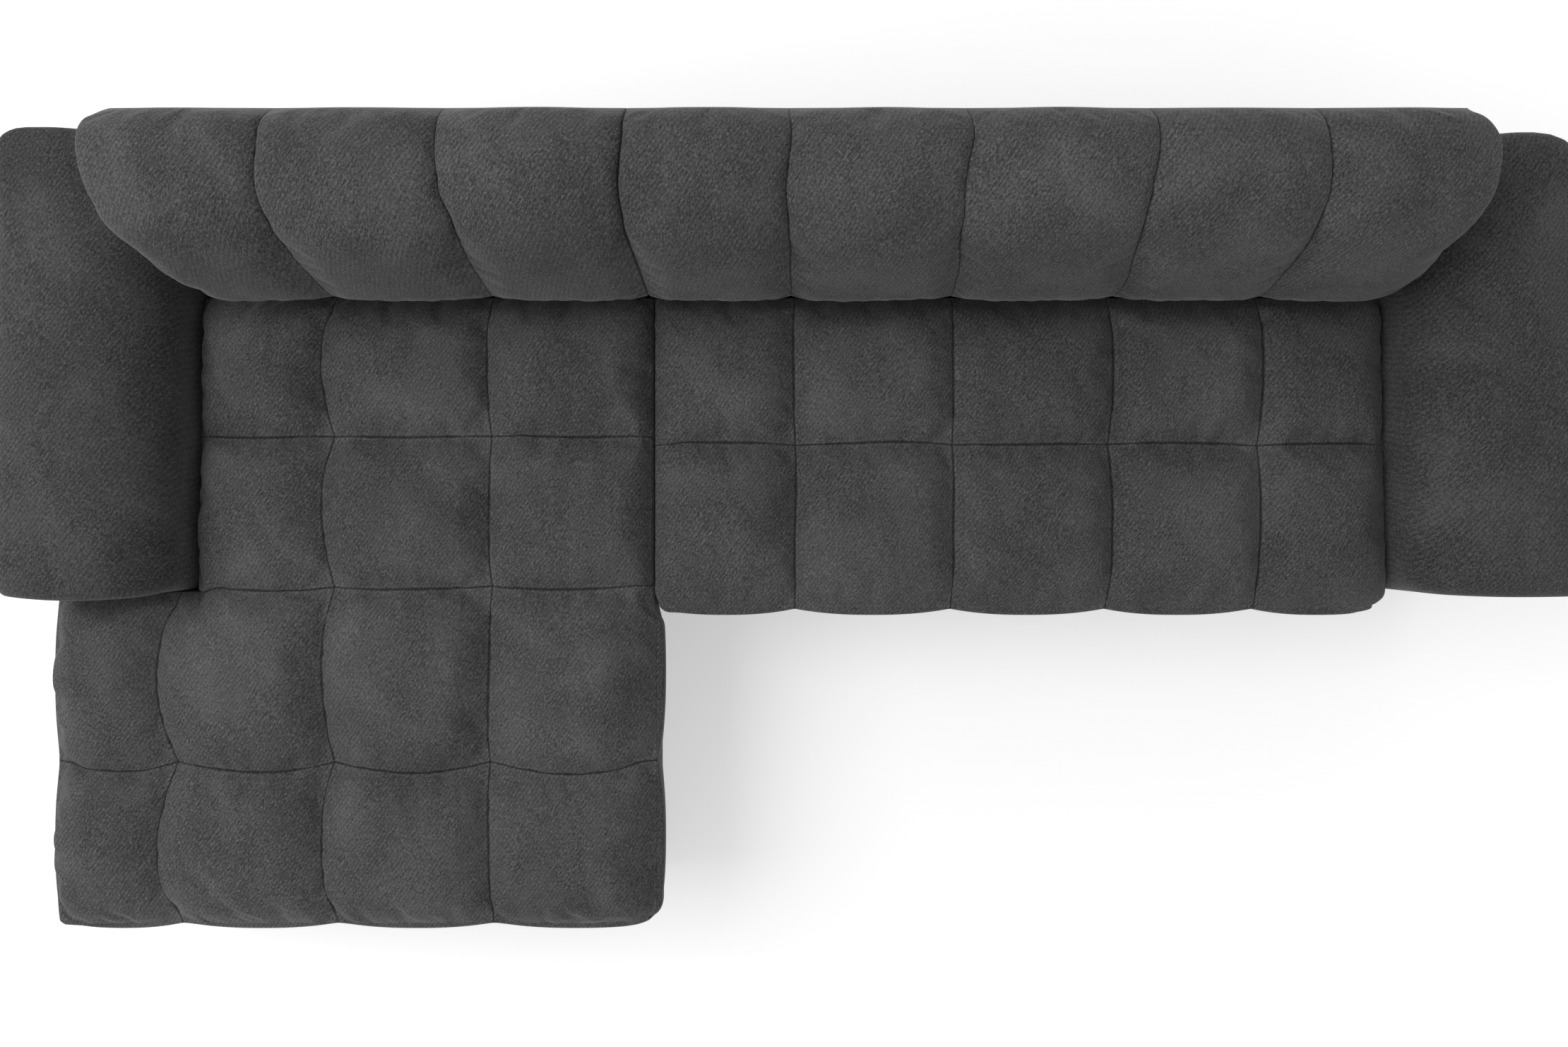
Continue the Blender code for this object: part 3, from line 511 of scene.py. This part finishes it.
def swell_cells(form, flat, rim, seams_at, edges_at):
    """Swells the flat grid between its seams, rolls its edges down, and marks seams and sewn points."""
    seam = form.verts.layers.float["seam"]
    held = form.verts.layers.float["held"]
    for vert, spot in flat.items():
        columns, rows = seams_at(spot)
        share_x, off_x, _ = between(spot.x, columns)
        share_y, off_y, _ = between(spot.y, rows)
        swell_x, swell_y = swell(share_x), swell(share_y)
        sides = edges_at(spot)
        nearest = min(distance for _, distance, _ in sides)
        drop = 0.0
        for _, distance, free in sides:
            drop = math.hypot(drop, edge_roll * max(0.0, 1 - distance / edge_roll_reach) ** 2 * free)
            tuck = side_tuck * max(0.0, 1 - distance / side_tuck_reach) ** 2.2 * (1 - free)
            drop = math.hypot(drop, tuck)
        full = (swell_x * swell_y) ** cell_fullness * (1 - seam_rise)
        full += seam_rise * (1 - (1 - swell_x) * (1 - swell_y))
        full *= eased(nearest / flat_edge_reach + 0.25)
        bow_x = max(-1.0, min(1.0, spot.x / 0.5)) * bow_out_x * swell_y
        bow_y = max(-1.0, min(1.0, (spot.y - 0.04) / 0.3)) * bow_out_y * swell_x
        shift = noise.noise_vector(Vector((spot.x * 4.5, spot.y * 4.5, 1.7))) * unevenness
        inside = eased(nearest / straight_reach)
        vert.co.x += (bow_x + shift.x) * inside
        vert.co.y += (bow_y + shift.y) * inside
        uneven = noise.noise(Vector((spot.x * 5, spot.y * 5, 8.0))) * unevenness * inside * full
        vert.co.z = seam_height + seat_puff * full + uneven - drop
        # The seam mark sets where the velour is painted dark with shade in the groove and a painted highlight
        # beside it.
        off = min(off_x, off_y)
        if vert in rim:
            off = off_y if abs(rim[vert][0].x) > 0.5 else off_x
        vert[seam] = max(0.0, 1 - off / seam_mark_width)
        vert[held] = 1.0 if vert[seam] > 0.999 or vert in rim else 0.0


def hanging_rim(form, flat, rim, seams_at, edges_at):
    """For each rim point: its side's swell, how free it hangs, the way in, and how near its seam is."""
    seam = form.verts.layers.float["seam"]
    loop = {}
    for vert, directions in rim.items():
        spot = flat[vert]
        columns, rows = seams_at(spot)
        stand = Vector((0, 0, 0))
        hem = 0.0
        for axis, distance, free in edges_at(spot):
            if distance < 1e-5 and free:
                seams = columns if axis == 1 else rows
                share, _, cell = between(spot[1 - axis], seams)
                run = swell(share)
                if (cell == 0 and share < 0.5) or (cell == len(seams) - 2 and share > 0.5):
                    run = max(run, corner_run)
                along = swell_at_seam + (1 - swell_at_seam) * run
                for side in directions:
                    if abs(side[axis]) > 0.5:
                        stand = Vector((side.x * free, side.y * free, 0)) * side_swell * along
                hem = max(hem, free)
        inward = -sum(directions, Vector((0, 0, 0)))
        if abs(directions[0].dot(directions[1])) > 0.5:
            inward /= 2
        loop[vert] = (stand, hem, inward, vert[seam])
    return loop


def place_top(form, flat, moved, corners):
    """Moves the top to its place on the sofa and rounds its corners, and tells where they were square."""
    square = {}
    for vert in form.verts:
        vert.co = moved(flat[vert], vert.co)
        square[vert] = vert.co.copy()
        for (corner_x, corner_y, side), (reach_x, reach_y) in corners:
            p = 1 - abs(vert.co.x - corner_x) / reach_x
            q = 1 - abs(vert.co.y - corner_y) / reach_y
            if 0 < p <= 1 and 0 < q <= 1:
                vert.co.x = corner_x - side * reach_x * (1 - p * math.sqrt(1 - q * q / 2))
                vert.co.y = corner_y + reach_y * (1 - q * math.sqrt(1 - p * p / 2))
    return square


def push_sides(form, loop, square, bottom):
    """Pushes the sides down from the rim in steps, and wraps a hem round the edge below."""
    seam = form.verts.layers.float["seam"]
    held = form.verts.layers.float["held"]
    start = {vert: vert.co.copy() for vert in loop}
    sources = {vert: vert for vert in loop}
    steps = [(level, "side") for level in side_levels] + [(1.0, "hem"), (1.0, "turn"), (1.0, "bottom")]
    for level, kind in steps:
        edges = [edge for edge in form.edges if edge.is_boundary]
        pushed = bmesh.ops.extrude_edge_only(form, edges=edges)["geom"]
        fresh = {vert for vert in pushed if isinstance(vert, bmesh.types.BMVert)}
        bulge = math.sin(math.pi / 2 * min(1.0, level / side_swell_top))
        below = max(0.0, (level - side_swell_top) / (1 - side_swell_top))
        bulge *= math.cos(math.pi / 2 * below ** 1.6)
        after = {}
        for old, top in sources.items():
            made = next(edge.other_vert(old) for edge in old.link_edges if edge.other_vert(old) in fresh)
            stand, hem, inward, near = loop[top]
            made.co = start[top].lerp(square[top], corner_square * level) + stand * bulge
            made.co.z = start[top].z + (bottom - start[top].z) * level
            if kind in ("hem", "turn") and hem:
                made.co.z -= hem_drop
            if kind in ("turn", "bottom"):
                made.co += inward * hem_turn * hem
            # Where it hangs free, the hem carries on the seam's painted shade and highlight.
            made[seam] = near if hem else 0.0
            made[held] = 1.0
            after[made] = top
        sources = after


def sewn_seat(name, node, lines, kept, seams_at, edges_at, moved, corners, body):
    """A quilted pad: its top on a grid of sewn cells, its sides pushed down from the top's rim."""
    lines_x, lines_y = lines
    form, points = laid_grid(lines_x, lines_y, ("seam", "held"))
    for vert, column, row in points:
        vert.co = (lines_x[column], lines_y[row], 0)
    outside = [face for face in form.faces if not kept(face.calc_center_median())]
    bmesh.ops.delete(form, geom=outside, context="FACES")
    rim = rim_sides(form)
    flat = {vert: vert.co.copy() for vert in form.verts}
    swell_cells(form, flat, rim, seams_at, edges_at)
    loop = hanging_rim(form, flat, rim, seams_at, edges_at)
    square = place_top(form, flat, moved, corners)
    push_sides(form, loop, square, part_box(node)[0].z)
    bmesh.ops.remove_doubles(form, verts=form.verts, dist=merge_distance)
    open_edges = [edge for edge in form.edges if edge.is_boundary]
    bmesh.ops.triangle_fill(form, edges=open_edges, use_beauty=True)
    piece = finished(form, name, velour, body, smooth_angle=None)
    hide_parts(node)
    return piece


chaise_columns = [-1.4545, -1.207, -0.897, -0.585, -0.2673]
chaise_rows = [-0.757, -0.432, -0.096, 0.2125, 0.491]
arm_side = -1.163
beside_arm_side = (-1.19, -1.125)
wing_edge = chaise_rows[2]
inner_columns = [arm_side] + chaise_columns[2:]
overhang_start, overhang_run = -0.143, 0.03
overhang_swell = 0.0075
row_seam_shift, row_seam_reach = 0.0135, 0.30
column_bow = 0.050
row_sag, row_sag_forward = 0.004, 0.022
chaise_corners = [((-0.2598, -0.757, 1), (0.062, 0.036))]


def chaise_seams_at(spot):
    return (chaise_columns if spot[1] <= wing_edge + 1e-6 else inner_columns), chaise_rows


def hangs_over(y):
    """How free the chaise's right side hangs: it does so in front of the main unit."""
    return eased((overhang_start - y) / overhang_run)


def chaise_edges_at(spot):
    """For each side of the pad: the axis across it, how far away it is, and how free it hangs."""
    found = [(1, spot[1] - chaise_rows[0], 1.0), (1, chaise_rows[-1] - spot[1], 0.0),
             (0, chaise_columns[-1] - spot[0], hangs_over(spot[1]))]
    if spot[1] <= wing_edge + 1e-6:
        found.append((0, spot[0] - chaise_columns[0], 1.0))
        reach = wing_edge - spot[1]
        if spot[0] >= arm_side:
            reach = math.hypot(spot[0] - arm_side, reach)
        found.append((1, reach, 0.0))
    else:
        found.append((0, spot[0] - arm_side, 0.0))
    return found


def chaise_moved(flat, spot):
    """The pad's side follows the arm, its row seam lies behind the arm's front, and its seams bow."""
    beside = inner_columns[1] - flat.x
    if flat.y > wing_edge and beside > 0:
        spot.x -= arm_slant(flat.y) * beside / (inner_columns[1] - arm_side)
    rear_rows = max(0.0, 1 - abs(flat.y - wing_edge) / row_seam_reach)
    spot.y += row_seam_shift * eased((flat.x - arm_side) / 0.05) * rear_rows
    last_column = (flat.x - chaise_columns[-2]) / (chaise_columns[-1] - chaise_columns[-2])
    spot.x += overhang_swell * hangs_over(flat.y) * max(0.0, last_column)
    inside = eased(min(distance for _, distance, _ in chaise_edges_at(flat)) / straight_reach)
    share_x = between(flat.x, chaise_seams_at(flat)[0])[0]
    share_y = between(flat.y, chaise_rows)[0]
    spot.x += column_bow * min(0.0, flat.x - chaise_columns[-2]) * math.sin(math.pi * share_y) * inside
    sag = (row_sag + row_sag_forward * max(0.0, -flat.y)) * math.sin(math.pi * share_x)
    spot.y -= sag * inside * eased((flat.x + 1.45) / 0.4 + 0.2)
    return spot


lines_x = quilt_lines(chaise_columns, free_lines, held_lines)
lines_x = [x for x in lines_x if not beside_arm_side[0] < x < beside_arm_side[1]]
lines_x += fine_run(beside_arm_side[0], arm_side, mesh_step)[:-1]
lines_x += [arm_side + offset for offset in held_lines]
lines_y = quilt_lines(chaise_rows, free_lines, held_lines)
seat_pads = [sewn_seat("chaise_seat_velour", "chaise_seat_cushion", (sorted(lines_x), lines_y),
                       lambda spot: spot.x > arm_side or spot.y < wing_edge,
                       chaise_seams_at, chaise_edges_at, chaise_moved, chaise_corners, "chaise_lid")]

main_columns = [-0.2637, 0.0155, 0.3265, 0.6355, 0.931, 1.1837]
main_rows = [-0.1285, 0.1965, 0.491]
main_corners = [((-0.2637, -0.1285, -1), (0.029, 0.042)), ((1.1945, -0.1285, 1), (0.070, 0.031))]


def main_edges_at(spot):
    return [(1, spot[1] - main_rows[0], 1.0), (1, main_rows[-1] - spot[1], 0.0),
            (0, spot[0] - main_columns[0], 0.0), (0, main_columns[-1] - spot[0], 0.0)]


def main_moved(flat, spot):
    last_column = (flat.x - main_columns[-2]) / (main_columns[-1] - main_columns[-2])
    spot.x += arm_slant(flat.y) * max(0.0, last_column)
    return spot


lines_x = quilt_lines(main_columns, held_lines, held_lines)
lines_y = quilt_lines(main_rows, free_lines, held_lines)
seat_pads.append(sewn_seat("main_seat_velour", "main_seat_cushion", (lines_x, lines_y),
                           lambda spot: True, lambda spot: (main_columns, main_rows),
                           main_edges_at, main_moved, main_corners, "frame"))

# Back cushions. Foam and wadding under velour, sewn into upright channels, three on the chaise unit
# and five on the main unit. Each is glued to its back frame and rolls over the top rail.
# The front lip hangs over the seat, and the outer ends are rounded.
rear_plane = 0.765
rail_top = 0.7103
rail_front = 0.0822
glued_edge = 0.045
back_foot = 0.270
under_lip = 0.235
# depth from the rear plane, height, crease, pull of the round end, draw-in of the left and right end
back_shape = [(0.0035, rail_top, 0.0, 0.0, 0.004, 0.006), (0.0045, 0.728, 0.0, 0.0, 0.004, 0.006),
              (0.0120, 0.765, 0.0, 0.0, 0.007, 0.018), (0.0190, 0.790, 0.1, 0.0, 0.008, 0.028),
              (0.0280, 0.8191, 0.40, 0.0, 0.003, 0.028), (0.0440, 0.85195, 0.80, 0.0, -0.006, 0.020),
              (0.0837, 0.87585, 1.0, 0.0, -0.006, 0.009), (0.1457, 0.879, 1.0, 0.1, 0.000, 0.010),
              (0.2046, 0.85795, 1.0, 0.2, 0.007, 0.015), (0.2480, 0.8107, 1.0, 0.3, 0.012, 0.026),
              (0.2760, 0.72565, 0.9, 0.5, 0.022, 0.030), (0.2960, 0.6343, 0.8, 0.6, 0.038, 0.028),
              (0.3045, 0.565, 0.6, 0.7, 0.058, 0.034), (0.3000, 0.526, 0.5, 0.7, 0.070, 0.045),
              (0.2830, 0.500, 0.3, 0.4, 0.072, 0.046), (under_lip, 0.491, 0.0, 0.0, 0.060, 0.040)]
lean_depths = (0.053, 0.173, 0.248, 0.310)
middle_depth, middle_height = 0.155, 0.765
end_depth, end_height = 0.15, 0.76
end_insets = (0.015, 0.05, 0.11, 0.22, 0.40, 0.65, 1.0)
crease_depth = 0.026
end_crease_depth = 0.030
crease_sharpness = 0.62
end_round = 0.110
end_round_pull = 0.055
end_draw_reach = 0.20
end_bulge = 0.001
back_unevenness = 0.007
seam_wander = 0.006
held_below = 0.55


def flowing(rows, step):
    """Rows about one step apart on a smooth line through the given ones."""
    rows = [tuple(2 * a - b for a, b in zip(rows[0], rows[1]))] + rows
    rows.append(tuple(2 * a - b for a, b in zip(rows[-1], rows[-2])))
    found = []
    for before, start, stop, after in zip(rows, rows[1:], rows[2:], rows[3:]):
        count = max(1, round(math.dist(start[:2], stop[:2]) / step))
        for index in range(count):
            t = index / count
            found.append(tuple(0.5 * (2 * b + (c - a) * t + (2 * a - 5 * b + 4 * c - d) * t * t
                                      + (3 * b - a - 3 * c + d) * t ** 3)
                               for a, b, c, d in zip(before, start, stop, after)))
    return found + [rows[-2]]


def back_ring():
    """The back cushion's section: over the top, down the front, and back up along its frame."""
    ring = flowing(back_shape, mesh_step)
    ring += [(under_lip, z, 0.0, 0.0, 0.03, 0.03) for z in (0.44, 0.38, 0.32, back_foot)]
    ring += [(depth, back_foot, 0.0, 0.0, 0.01, 0.01) for depth in (0.19, 0.14)]
    ring += [(rail_front, z, 0.0, 0.0, 0.004, 0.004) for z in (back_foot, 0.38, 0.50, 0.62, rail_top)]
    return ring + [(glued_edge, rail_top, 0.0, 0.0, 0.004, 0.005), ring[0]]


def leaning(back, leans, share):
    """How far the seams on both sides lean at this depth, shared out across the channel."""
    at = min(max(back, lean_depths[0]), lean_depths[-1] - 1e-6)
    stage = next(index for index in range(3) if at < lean_depths[index + 1])
    part = eased((at - lean_depths[stage]) / (lean_depths[stage + 1] - lean_depths[stage]))
    first, last = [line[stage] + (line[stage + 1] - line[stage]) * part for line in leans]
    return first + (last - first) * share


def channelled_back(name, node, channels, leans, outer):
    """A back cushion drawn along its channels, whose seams lean from the top to the lip."""
    draw_in = 4 if outer == channels[0] else 5
    inward_side = 1 if outer == channels[0] else -1
    ring = back_ring()
    places = [(channels[0], inset) for inset in reversed(end_insets)]
    places += [(x, 0.0) for x in quilt_lines(channels, seam_lines, seam_lines)]
    places += [(channels[-1], inset) for inset in end_insets]
    form, points = laid_grid(places, ring, ("seam", "held"))
    seam = form.verts.layers.float["seam"]
    held = form.verts.layers.float["held"]
    middle = Vector((0, rear_plane - middle_depth, middle_height))
    for vert, column, row in points:
        x, inset = places[column]
        share, off, cell = between(x, channels)
        back, height, crease, pull = ring[row][:4]
        creased = max(0.0, crease)
        deepest = end_crease_depth if x in (channels[0], channels[-1]) else crease_depth
        bed = 1 - swell(share) ** crease_sharpness
        from_round = max(0.0, 1 - abs(x - outer) / end_round)
        end_pull = end_round_pull * (1 - math.sqrt(1 - from_round ** 2))
        spot = Vector((x, rear_plane - back, height))
        inward = Vector((0, middle.y - spot.y, middle.z - spot.z)).normalized()
        uneven = noise.noise(Vector((x * 6, back * 9, height * 9))) * back_unevenness * swell(share) * creased
        vert.co = spot + inward * (deepest * bed * creased + end_pull * max(0.0, pull) - uneven)
        vert.co.x += leaning(back, leans[cell:cell + 2], share)
        wander = noise.noise(Vector((x * 5, back * 8, height * 8 + 4.0))) * seam_wander
        from_ends = min(1.0, abs(x - channels[0]) / 0.1) * min(1.0, abs(x - channels[-1]) / 0.1)
        vert.co.x += wander * from_ends * creased
        near_end = max(0.0, 1 - abs(x - outer) / end_draw_reach)
        vert.co.x += inward_side * ring[row][draw_in] * near_end ** 1.6
        # The seam mark sets where the channel seams are painted dark with shade and a painted highlight
        # beside them.
        vert[seam] = max(0.0, 1 - off / seam_mark_width) if crease > 0.02 and not inset else 0.0
        vert[held] = 0.0 if crease > held_below and off > 0.0001 else 1.0
        if inset:
            centre = Vector((vert.co.x, rear_plane - end_depth, end_height))
            vert.co = vert.co.lerp(centre, inset)
            if abs(x - outer) < 0.01:
                vert.co.x -= end_bulge * inward_side * math.sin(math.pi / 2 * min(1.0, inset / 0.2))
    bmesh.ops.remove_doubles(form, verts=form.verts, dist=merge_distance)
    piece = finished(form, name, velour, "frame", smooth_angle=60)
    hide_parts(node)
    return piece


chaise_channels = [-1.1657, -0.870, -0.5699, -0.2643]
main_channels = [-0.2637, 0.0060, 0.3030, 0.6090, 0.9060, 1.1837]
upright = (0.0, 0.0, 0.0, 0.0)
joint_lean = (-0.010, -0.016, -0.012, 0.004)
chaise_leans = [upright, (-0.004, -0.009, -0.001, 0.016), (-0.012, -0.007, 0.008, 0.016), joint_lean]
main_leans = [joint_lean, (-0.003, -0.005, -0.003, 0.002), (0.001, -0.009, -0.008, 0.005),
              (0.005, -0.004, -0.010, 0.004), (-0.012, -0.010, -0.013, -0.018), upright]
back_pads = [channelled_back("chaise_back_velour", "chaise_back_cushion", chaise_channels,
                             chaise_leans, chaise_channels[0]),
             channelled_back("main_back_velour", "main_back_cushion", main_channels,
                             main_leans, main_channels[-1])]

# Arm covers. Wadding and velour over two side boards and a top board, padded thickest over the
# inner top edge, which is a wide round. The front panel is sewn on with an edge seam.
arm_height = 0.635
arm_foot = 0.050
arm_front = -0.093
arm_half_width = 0.136
arm_end_round = 0.035
outer_round = 0.030
inner_round_width = 0.205
inner_round_height = 0.155
corner_start, corner_rise = 0.55, 0.06
top_start, top_rise = 0.47, 0.1
spine_height = 0.40
outer_wall = 0.012
inner_wall = 0.060
front_wall = 0.045
rear_wall = 0.003
pocket_top = 0.525
arm_step = 0.012
arm_insets = (0.05, 0.12, 0.25, 0.4, 0.6, 0.8, 1.0)
# The arms wear a copy of the velour whose colour is turned darker, as painted shade, so the arms look darker
# than the seats and backs.
shaded_arm_velour = velour.copy()
shaded_arm_velour.name = "charcoal velour painted darker"
shaded_arm_velour.node_tree.nodes["painted_shade_level"].inputs["Value"].default_value = 0.82


def rounded(count):
    """Shares along a quarter round: how far forward, and how far in, at each of its steps."""
    angles = [math.radians(90 * step / count) for step in range(count + 1)]
    return [(1 - math.cos(angle), 1 - math.sin(angle)) for angle in angles]


def arm_section(width):
    """The arm's section, up its outer side, over the top and down its inner side."""
    section = [(0.0, z) for z in fine_run(arm_foot, arm_height - outer_round, arm_step)]
    section += [(outer_round * forward, arm_height - outer_round * inset)
                for forward, inset in rounded(4)[1:]]
    section += [(across, arm_height)
                for across in fine_run(outer_round, width - inner_round_width, arm_step)[1:]]
    section += [(width - inner_round_width * inset, arm_height - inner_round_height * forward)
                for forward, inset in rounded(24)[1:]]
    inner_side = fine_run(arm_foot, arm_height - inner_round_height, arm_step)[:-1]
    return section + [(width, z) for z in reversed(inner_side)]


def arm_rows(rear_round):
    """The rows from the front panel's middle to the rear's: depth, how much it pulls in, and inset."""
    rear_share = rear_round / arm_end_round
    rows = [(arm_front, 1.0, inset) for inset in reversed(arm_insets)]
    rows += [(arm_front + arm_end_round * forward, inset, 0.0) for forward, inset in rounded(6)]
    along = fine_run(arm_front + arm_end_round, rear_plane - rear_round, arm_step)
    rows += [(y, 0.0, 0.0) for y in along[1:-1]]
    rows += [(rear_plane - rear_round * forward, inset * rear_round / arm_end_round, 0.0)
             for forward, inset in reversed(rounded(5))]
    return rows + [(rear_plane, rear_share, inset) for inset in arm_insets]


def hollow_arm(form, outer, inner, side):
    """Turns the open foot in, up into a pocket that the arm's boards stand in, and closes the pocket."""
    pocket_low, pocket_high = sorted((outer + side * outer_wall, inner - side * inner_wall))
    for lift in (0.0, pocket_top - arm_foot):
        edges = [edge for edge in form.edges if edge.is_boundary]
        pushed = bmesh.ops.extrude_edge_only(form, edges=edges)["geom"]
        for vert in pushed:
            if isinstance(vert, bmesh.types.BMVert):
                vert.co.x = min(max(vert.co.x, pocket_low), pocket_high)
                vert.co.y = min(max(vert.co.y, arm_front + front_wall), rear_plane - rear_wall)
                vert.co.z += lift
    bmesh.ops.holes_fill(form, edges=[edge for edge in form.edges if edge.is_boundary], sides=0)
    bmesh.ops.triangulate(form, faces=[face for face in form.faces if len(face.verts) > 4])


def padded_arm(name, node, outer, inner, rear_round, corner_round, front_crown):
    side = 1 if inner > outer else -1
    section = arm_section(abs(inner - outer))
    rows = arm_rows(rear_round)
    form, points = laid_grid(section, rows, ("seam",))
    seam = form.verts.layers.float["seam"]
    centre = (outer + inner) / 2
    for vert, column, row in points:
        y, pull, inset = rows[row]
        across, z = section[column]
        spot = Vector((outer + side * across, y, z))
        spot.z -= arm_end_round * pull * (z - arm_foot) / (arm_height - arm_foot)
        inward = (spot.x - centre) * side / arm_half_width
        if inward > 0:
            spot.x -= side * (arm_end_round * pull * (1.0 if y < 0 else 0.0) + arm_slant(y)) * inward
        else:
            from_rear = max(0.0, 1 - (rear_plane - y) / corner_round)
            rounding = corner_round * (1 - math.sqrt(1 - from_rear ** 2))
            spot.x -= side * rounding * eased((z - corner_start) / corner_rise) * inward
        on_top = eased((z - top_start) / top_rise)
        uneven = noise.noise(Vector((spot.x * 5, y * 3, 2.0 + side))) * unevenness
        spot.z += uneven * on_top * (1 - inset)
        crown = max(0.0, 1 - ((spot.x - centre) / arm_half_width) ** 2)
        if y < 0:
            spot.y -= front_crown * crown * on_top * eased(pull)
        mirrored = min(column, len(section) - 1 - column)
        spine = Vector((centre, y, arm_foot + spine_height * mirrored / (len(section) // 2)))
        vert.co = spot.lerp(spine, inset)
        # The front edge seam gets the same painted shade and painted highlight as the seat seams.
        if len(arm_insets) - 1 <= row <= len(arm_insets) + 3:
            vert[seam] = max(0.0, 1 - abs(row - len(arm_insets)) * 0.4)
    bmesh.ops.remove_doubles(form, verts=form.verts, dist=merge_distance)
    hollow_arm(form, outer, inner, side)
    piece = finished(form, name, shaded_arm_velour, "frame", smooth_angle=55)
    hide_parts(node)


padded_arm("left_arm_velour", "left_arm_cover", outer=-1.451, inner=-1.166,
           rear_round=0.022, corner_round=0.050, front_crown=0.009)
padded_arm("right_arm_velour", "right_arm_cover", outer=1.456, inner=1.184,
           rear_round=0.055, corner_round=0.085, front_crown=0.002)

# Filling. The foam presses the velour of the seats and backs out between the seams that hold it,
# so the cloth settles into soft wrinkles by a cloth simulation, and one subdivision rounds it.
settle_steps = 20


def settle(pads, pressure, spare, most):
    """Lets the velour bulge: its spare length is a share, and no point moves further than most."""
    for piece in pads:
        mesh = piece.data
        group = piece.vertex_groups.new(name="sewn down")
        values = [0.0] * len(mesh.vertices)
        mesh.attributes["held"].data.foreach_get("value", values)
        group.add([index for index, value in enumerate(values) if value > 0.5], 1.0, "ADD")
        cloth = piece.modifiers.new("settling", "CLOTH")
        cloth.settings.quality = 5
        cloth.settings.vertex_group_mass = group.name
        cloth.settings.use_pressure = True
        cloth.settings.uniform_pressure_force = pressure
        cloth.settings.shrink_min = -spare
        cloth.settings.shrink_max = -spare
        cloth.settings.effector_weights.gravity = 0
        cloth.collision_settings.use_collision = False
        cloth.point_cache.frame_end = settle_steps
    for step in range(1, settle_steps + 1):
        bpy.context.scene.frame_set(step)
    graph = bpy.context.evaluated_depsgraph_get()
    for piece in pads:
        settled = piece.evaluated_get(graph).data
        for vert, moved in zip(piece.data.vertices, settled.vertices):
            shift = moved.co - vert.co
            if shift.length > most:
                shift *= most / shift.length
            vert.co += shift
    for piece in pads:
        piece.modifiers.clear()
        piece.vertex_groups.clear()
    bpy.context.scene.frame_set(1)


settle(seat_pads, pressure=3.4, spare=0.04, most=0.016)
settle(back_pads, pressure=3.0, spare=0.03, most=0.012)
for piece in seat_pads + back_pads:
    piece.data.attributes.remove(piece.data.attributes["held"])
    smooth = piece.modifiers.new("round", "SUBSURF")
    smooth.levels = 1
    smooth.render_levels = 1

# Floor, lamps and camera. A plain white floor that keeps a faint shadow, a large soft lamp high on
# the left, an even fill, and the camera straight above the sofa.
floor_size = 60.0
floor_glow, floor_glow_rise, floor_glow_most = 0.42, 0.06, 0.36
lamp_size = 3.8
lamp_power = 175
lamp_place = (-3.4, 0.4, 4.9)
lamp_aim = (-0.1, 0.0, 0.4)
fill_strength = 0.51
camera_place = (-0.006, 0.041, 3.0)
photo_width = 2220
focal_length = 1846
sensor_width = 36


def seen_directly(tree):
    """1 for what the camera sees, straight or in a shiny or clear surface, and 0 for other light."""
    rays = tree.nodes.new("ShaderNodeLightPath")
    shiny = worked(tree, "MAXIMUM", rays.outputs["Is Glossy Ray"], rays.outputs["Is Transmission Ray"])
    return worked(tree, "MAXIMUM", rays.outputs["Is Camera Ray"], shiny)


form = bmesh.new()
bmesh.ops.create_grid(form, x_segments=1, y_segments=1, size=floor_size)
floor_mesh = bpy.data.meshes.new("studio_floor")
form.to_mesh(floor_mesh)
form.free()
floor = bpy.data.objects.new("studio_floor", floor_mesh)
bpy.context.scene.collection.objects.link(floor)
floor_paint, tree, shader, place = start_finish("studio floor", (0.7, 0.7, 0.7), 1.0)
shader.inputs["Specular IOR Level"].default_value = 0.0
shader.inputs["Emission Color"].default_value = (1, 1, 1, 1)
away = tree.nodes.new("ShaderNodeVectorMath")
away.operation = "LENGTH"
tree.links.new(place, away.inputs[0])
far = worked(tree, "MULTIPLY", away.outputs["Value"], floor_glow_rise)
far = worked(tree, "MINIMUM", far, floor_glow_most)
glow = worked(tree, "MULTIPLY", seen_directly(tree), worked(tree, "ADD", far, floor_glow))
tree.links.new(glow, shader.inputs["Emission Strength"])
floor_mesh.materials.append(floor_paint)

world = bpy.data.worlds.new("studio")
bpy.context.scene.world = world
world.use_nodes = True
tree = world.node_tree
sky = tree.nodes["Background"]
sky.inputs["Color"].default_value = (1, 1, 1, 1)
white = worked(tree, "MULTIPLY", seen_directly(tree), 1 - fill_strength)
tree.links.new(worked(tree, "ADD", white, fill_strength), sky.inputs["Strength"])

lamp = bpy.data.lights.new("soft_lamp", "AREA")
lamp.shape = "RECTANGLE"
lamp.size = lamp_size
lamp.size_y = lamp_size
lamp.energy = lamp_power
soft_lamp = bpy.data.objects.new("soft_lamp", lamp)
soft_lamp.location = lamp_place
aim = Vector(lamp_aim) - soft_lamp.location
soft_lamp.rotation_euler = aim.to_track_quat("-Z", "Y").to_euler()
bpy.context.scene.collection.objects.link(soft_lamp)

camera_data = bpy.data.cameras.new("camera")
camera_data.sensor_width = sensor_width
camera_data.lens = sensor_width * focal_length / photo_width
camera = bpy.data.objects.new("camera", camera_data)
camera.location = camera_place
bpy.context.scene.collection.objects.link(camera)
bpy.context.scene.camera = camera
bpy.context.scene.view_settings.view_transform = "Standard"

bpy.context.view_layer.update()
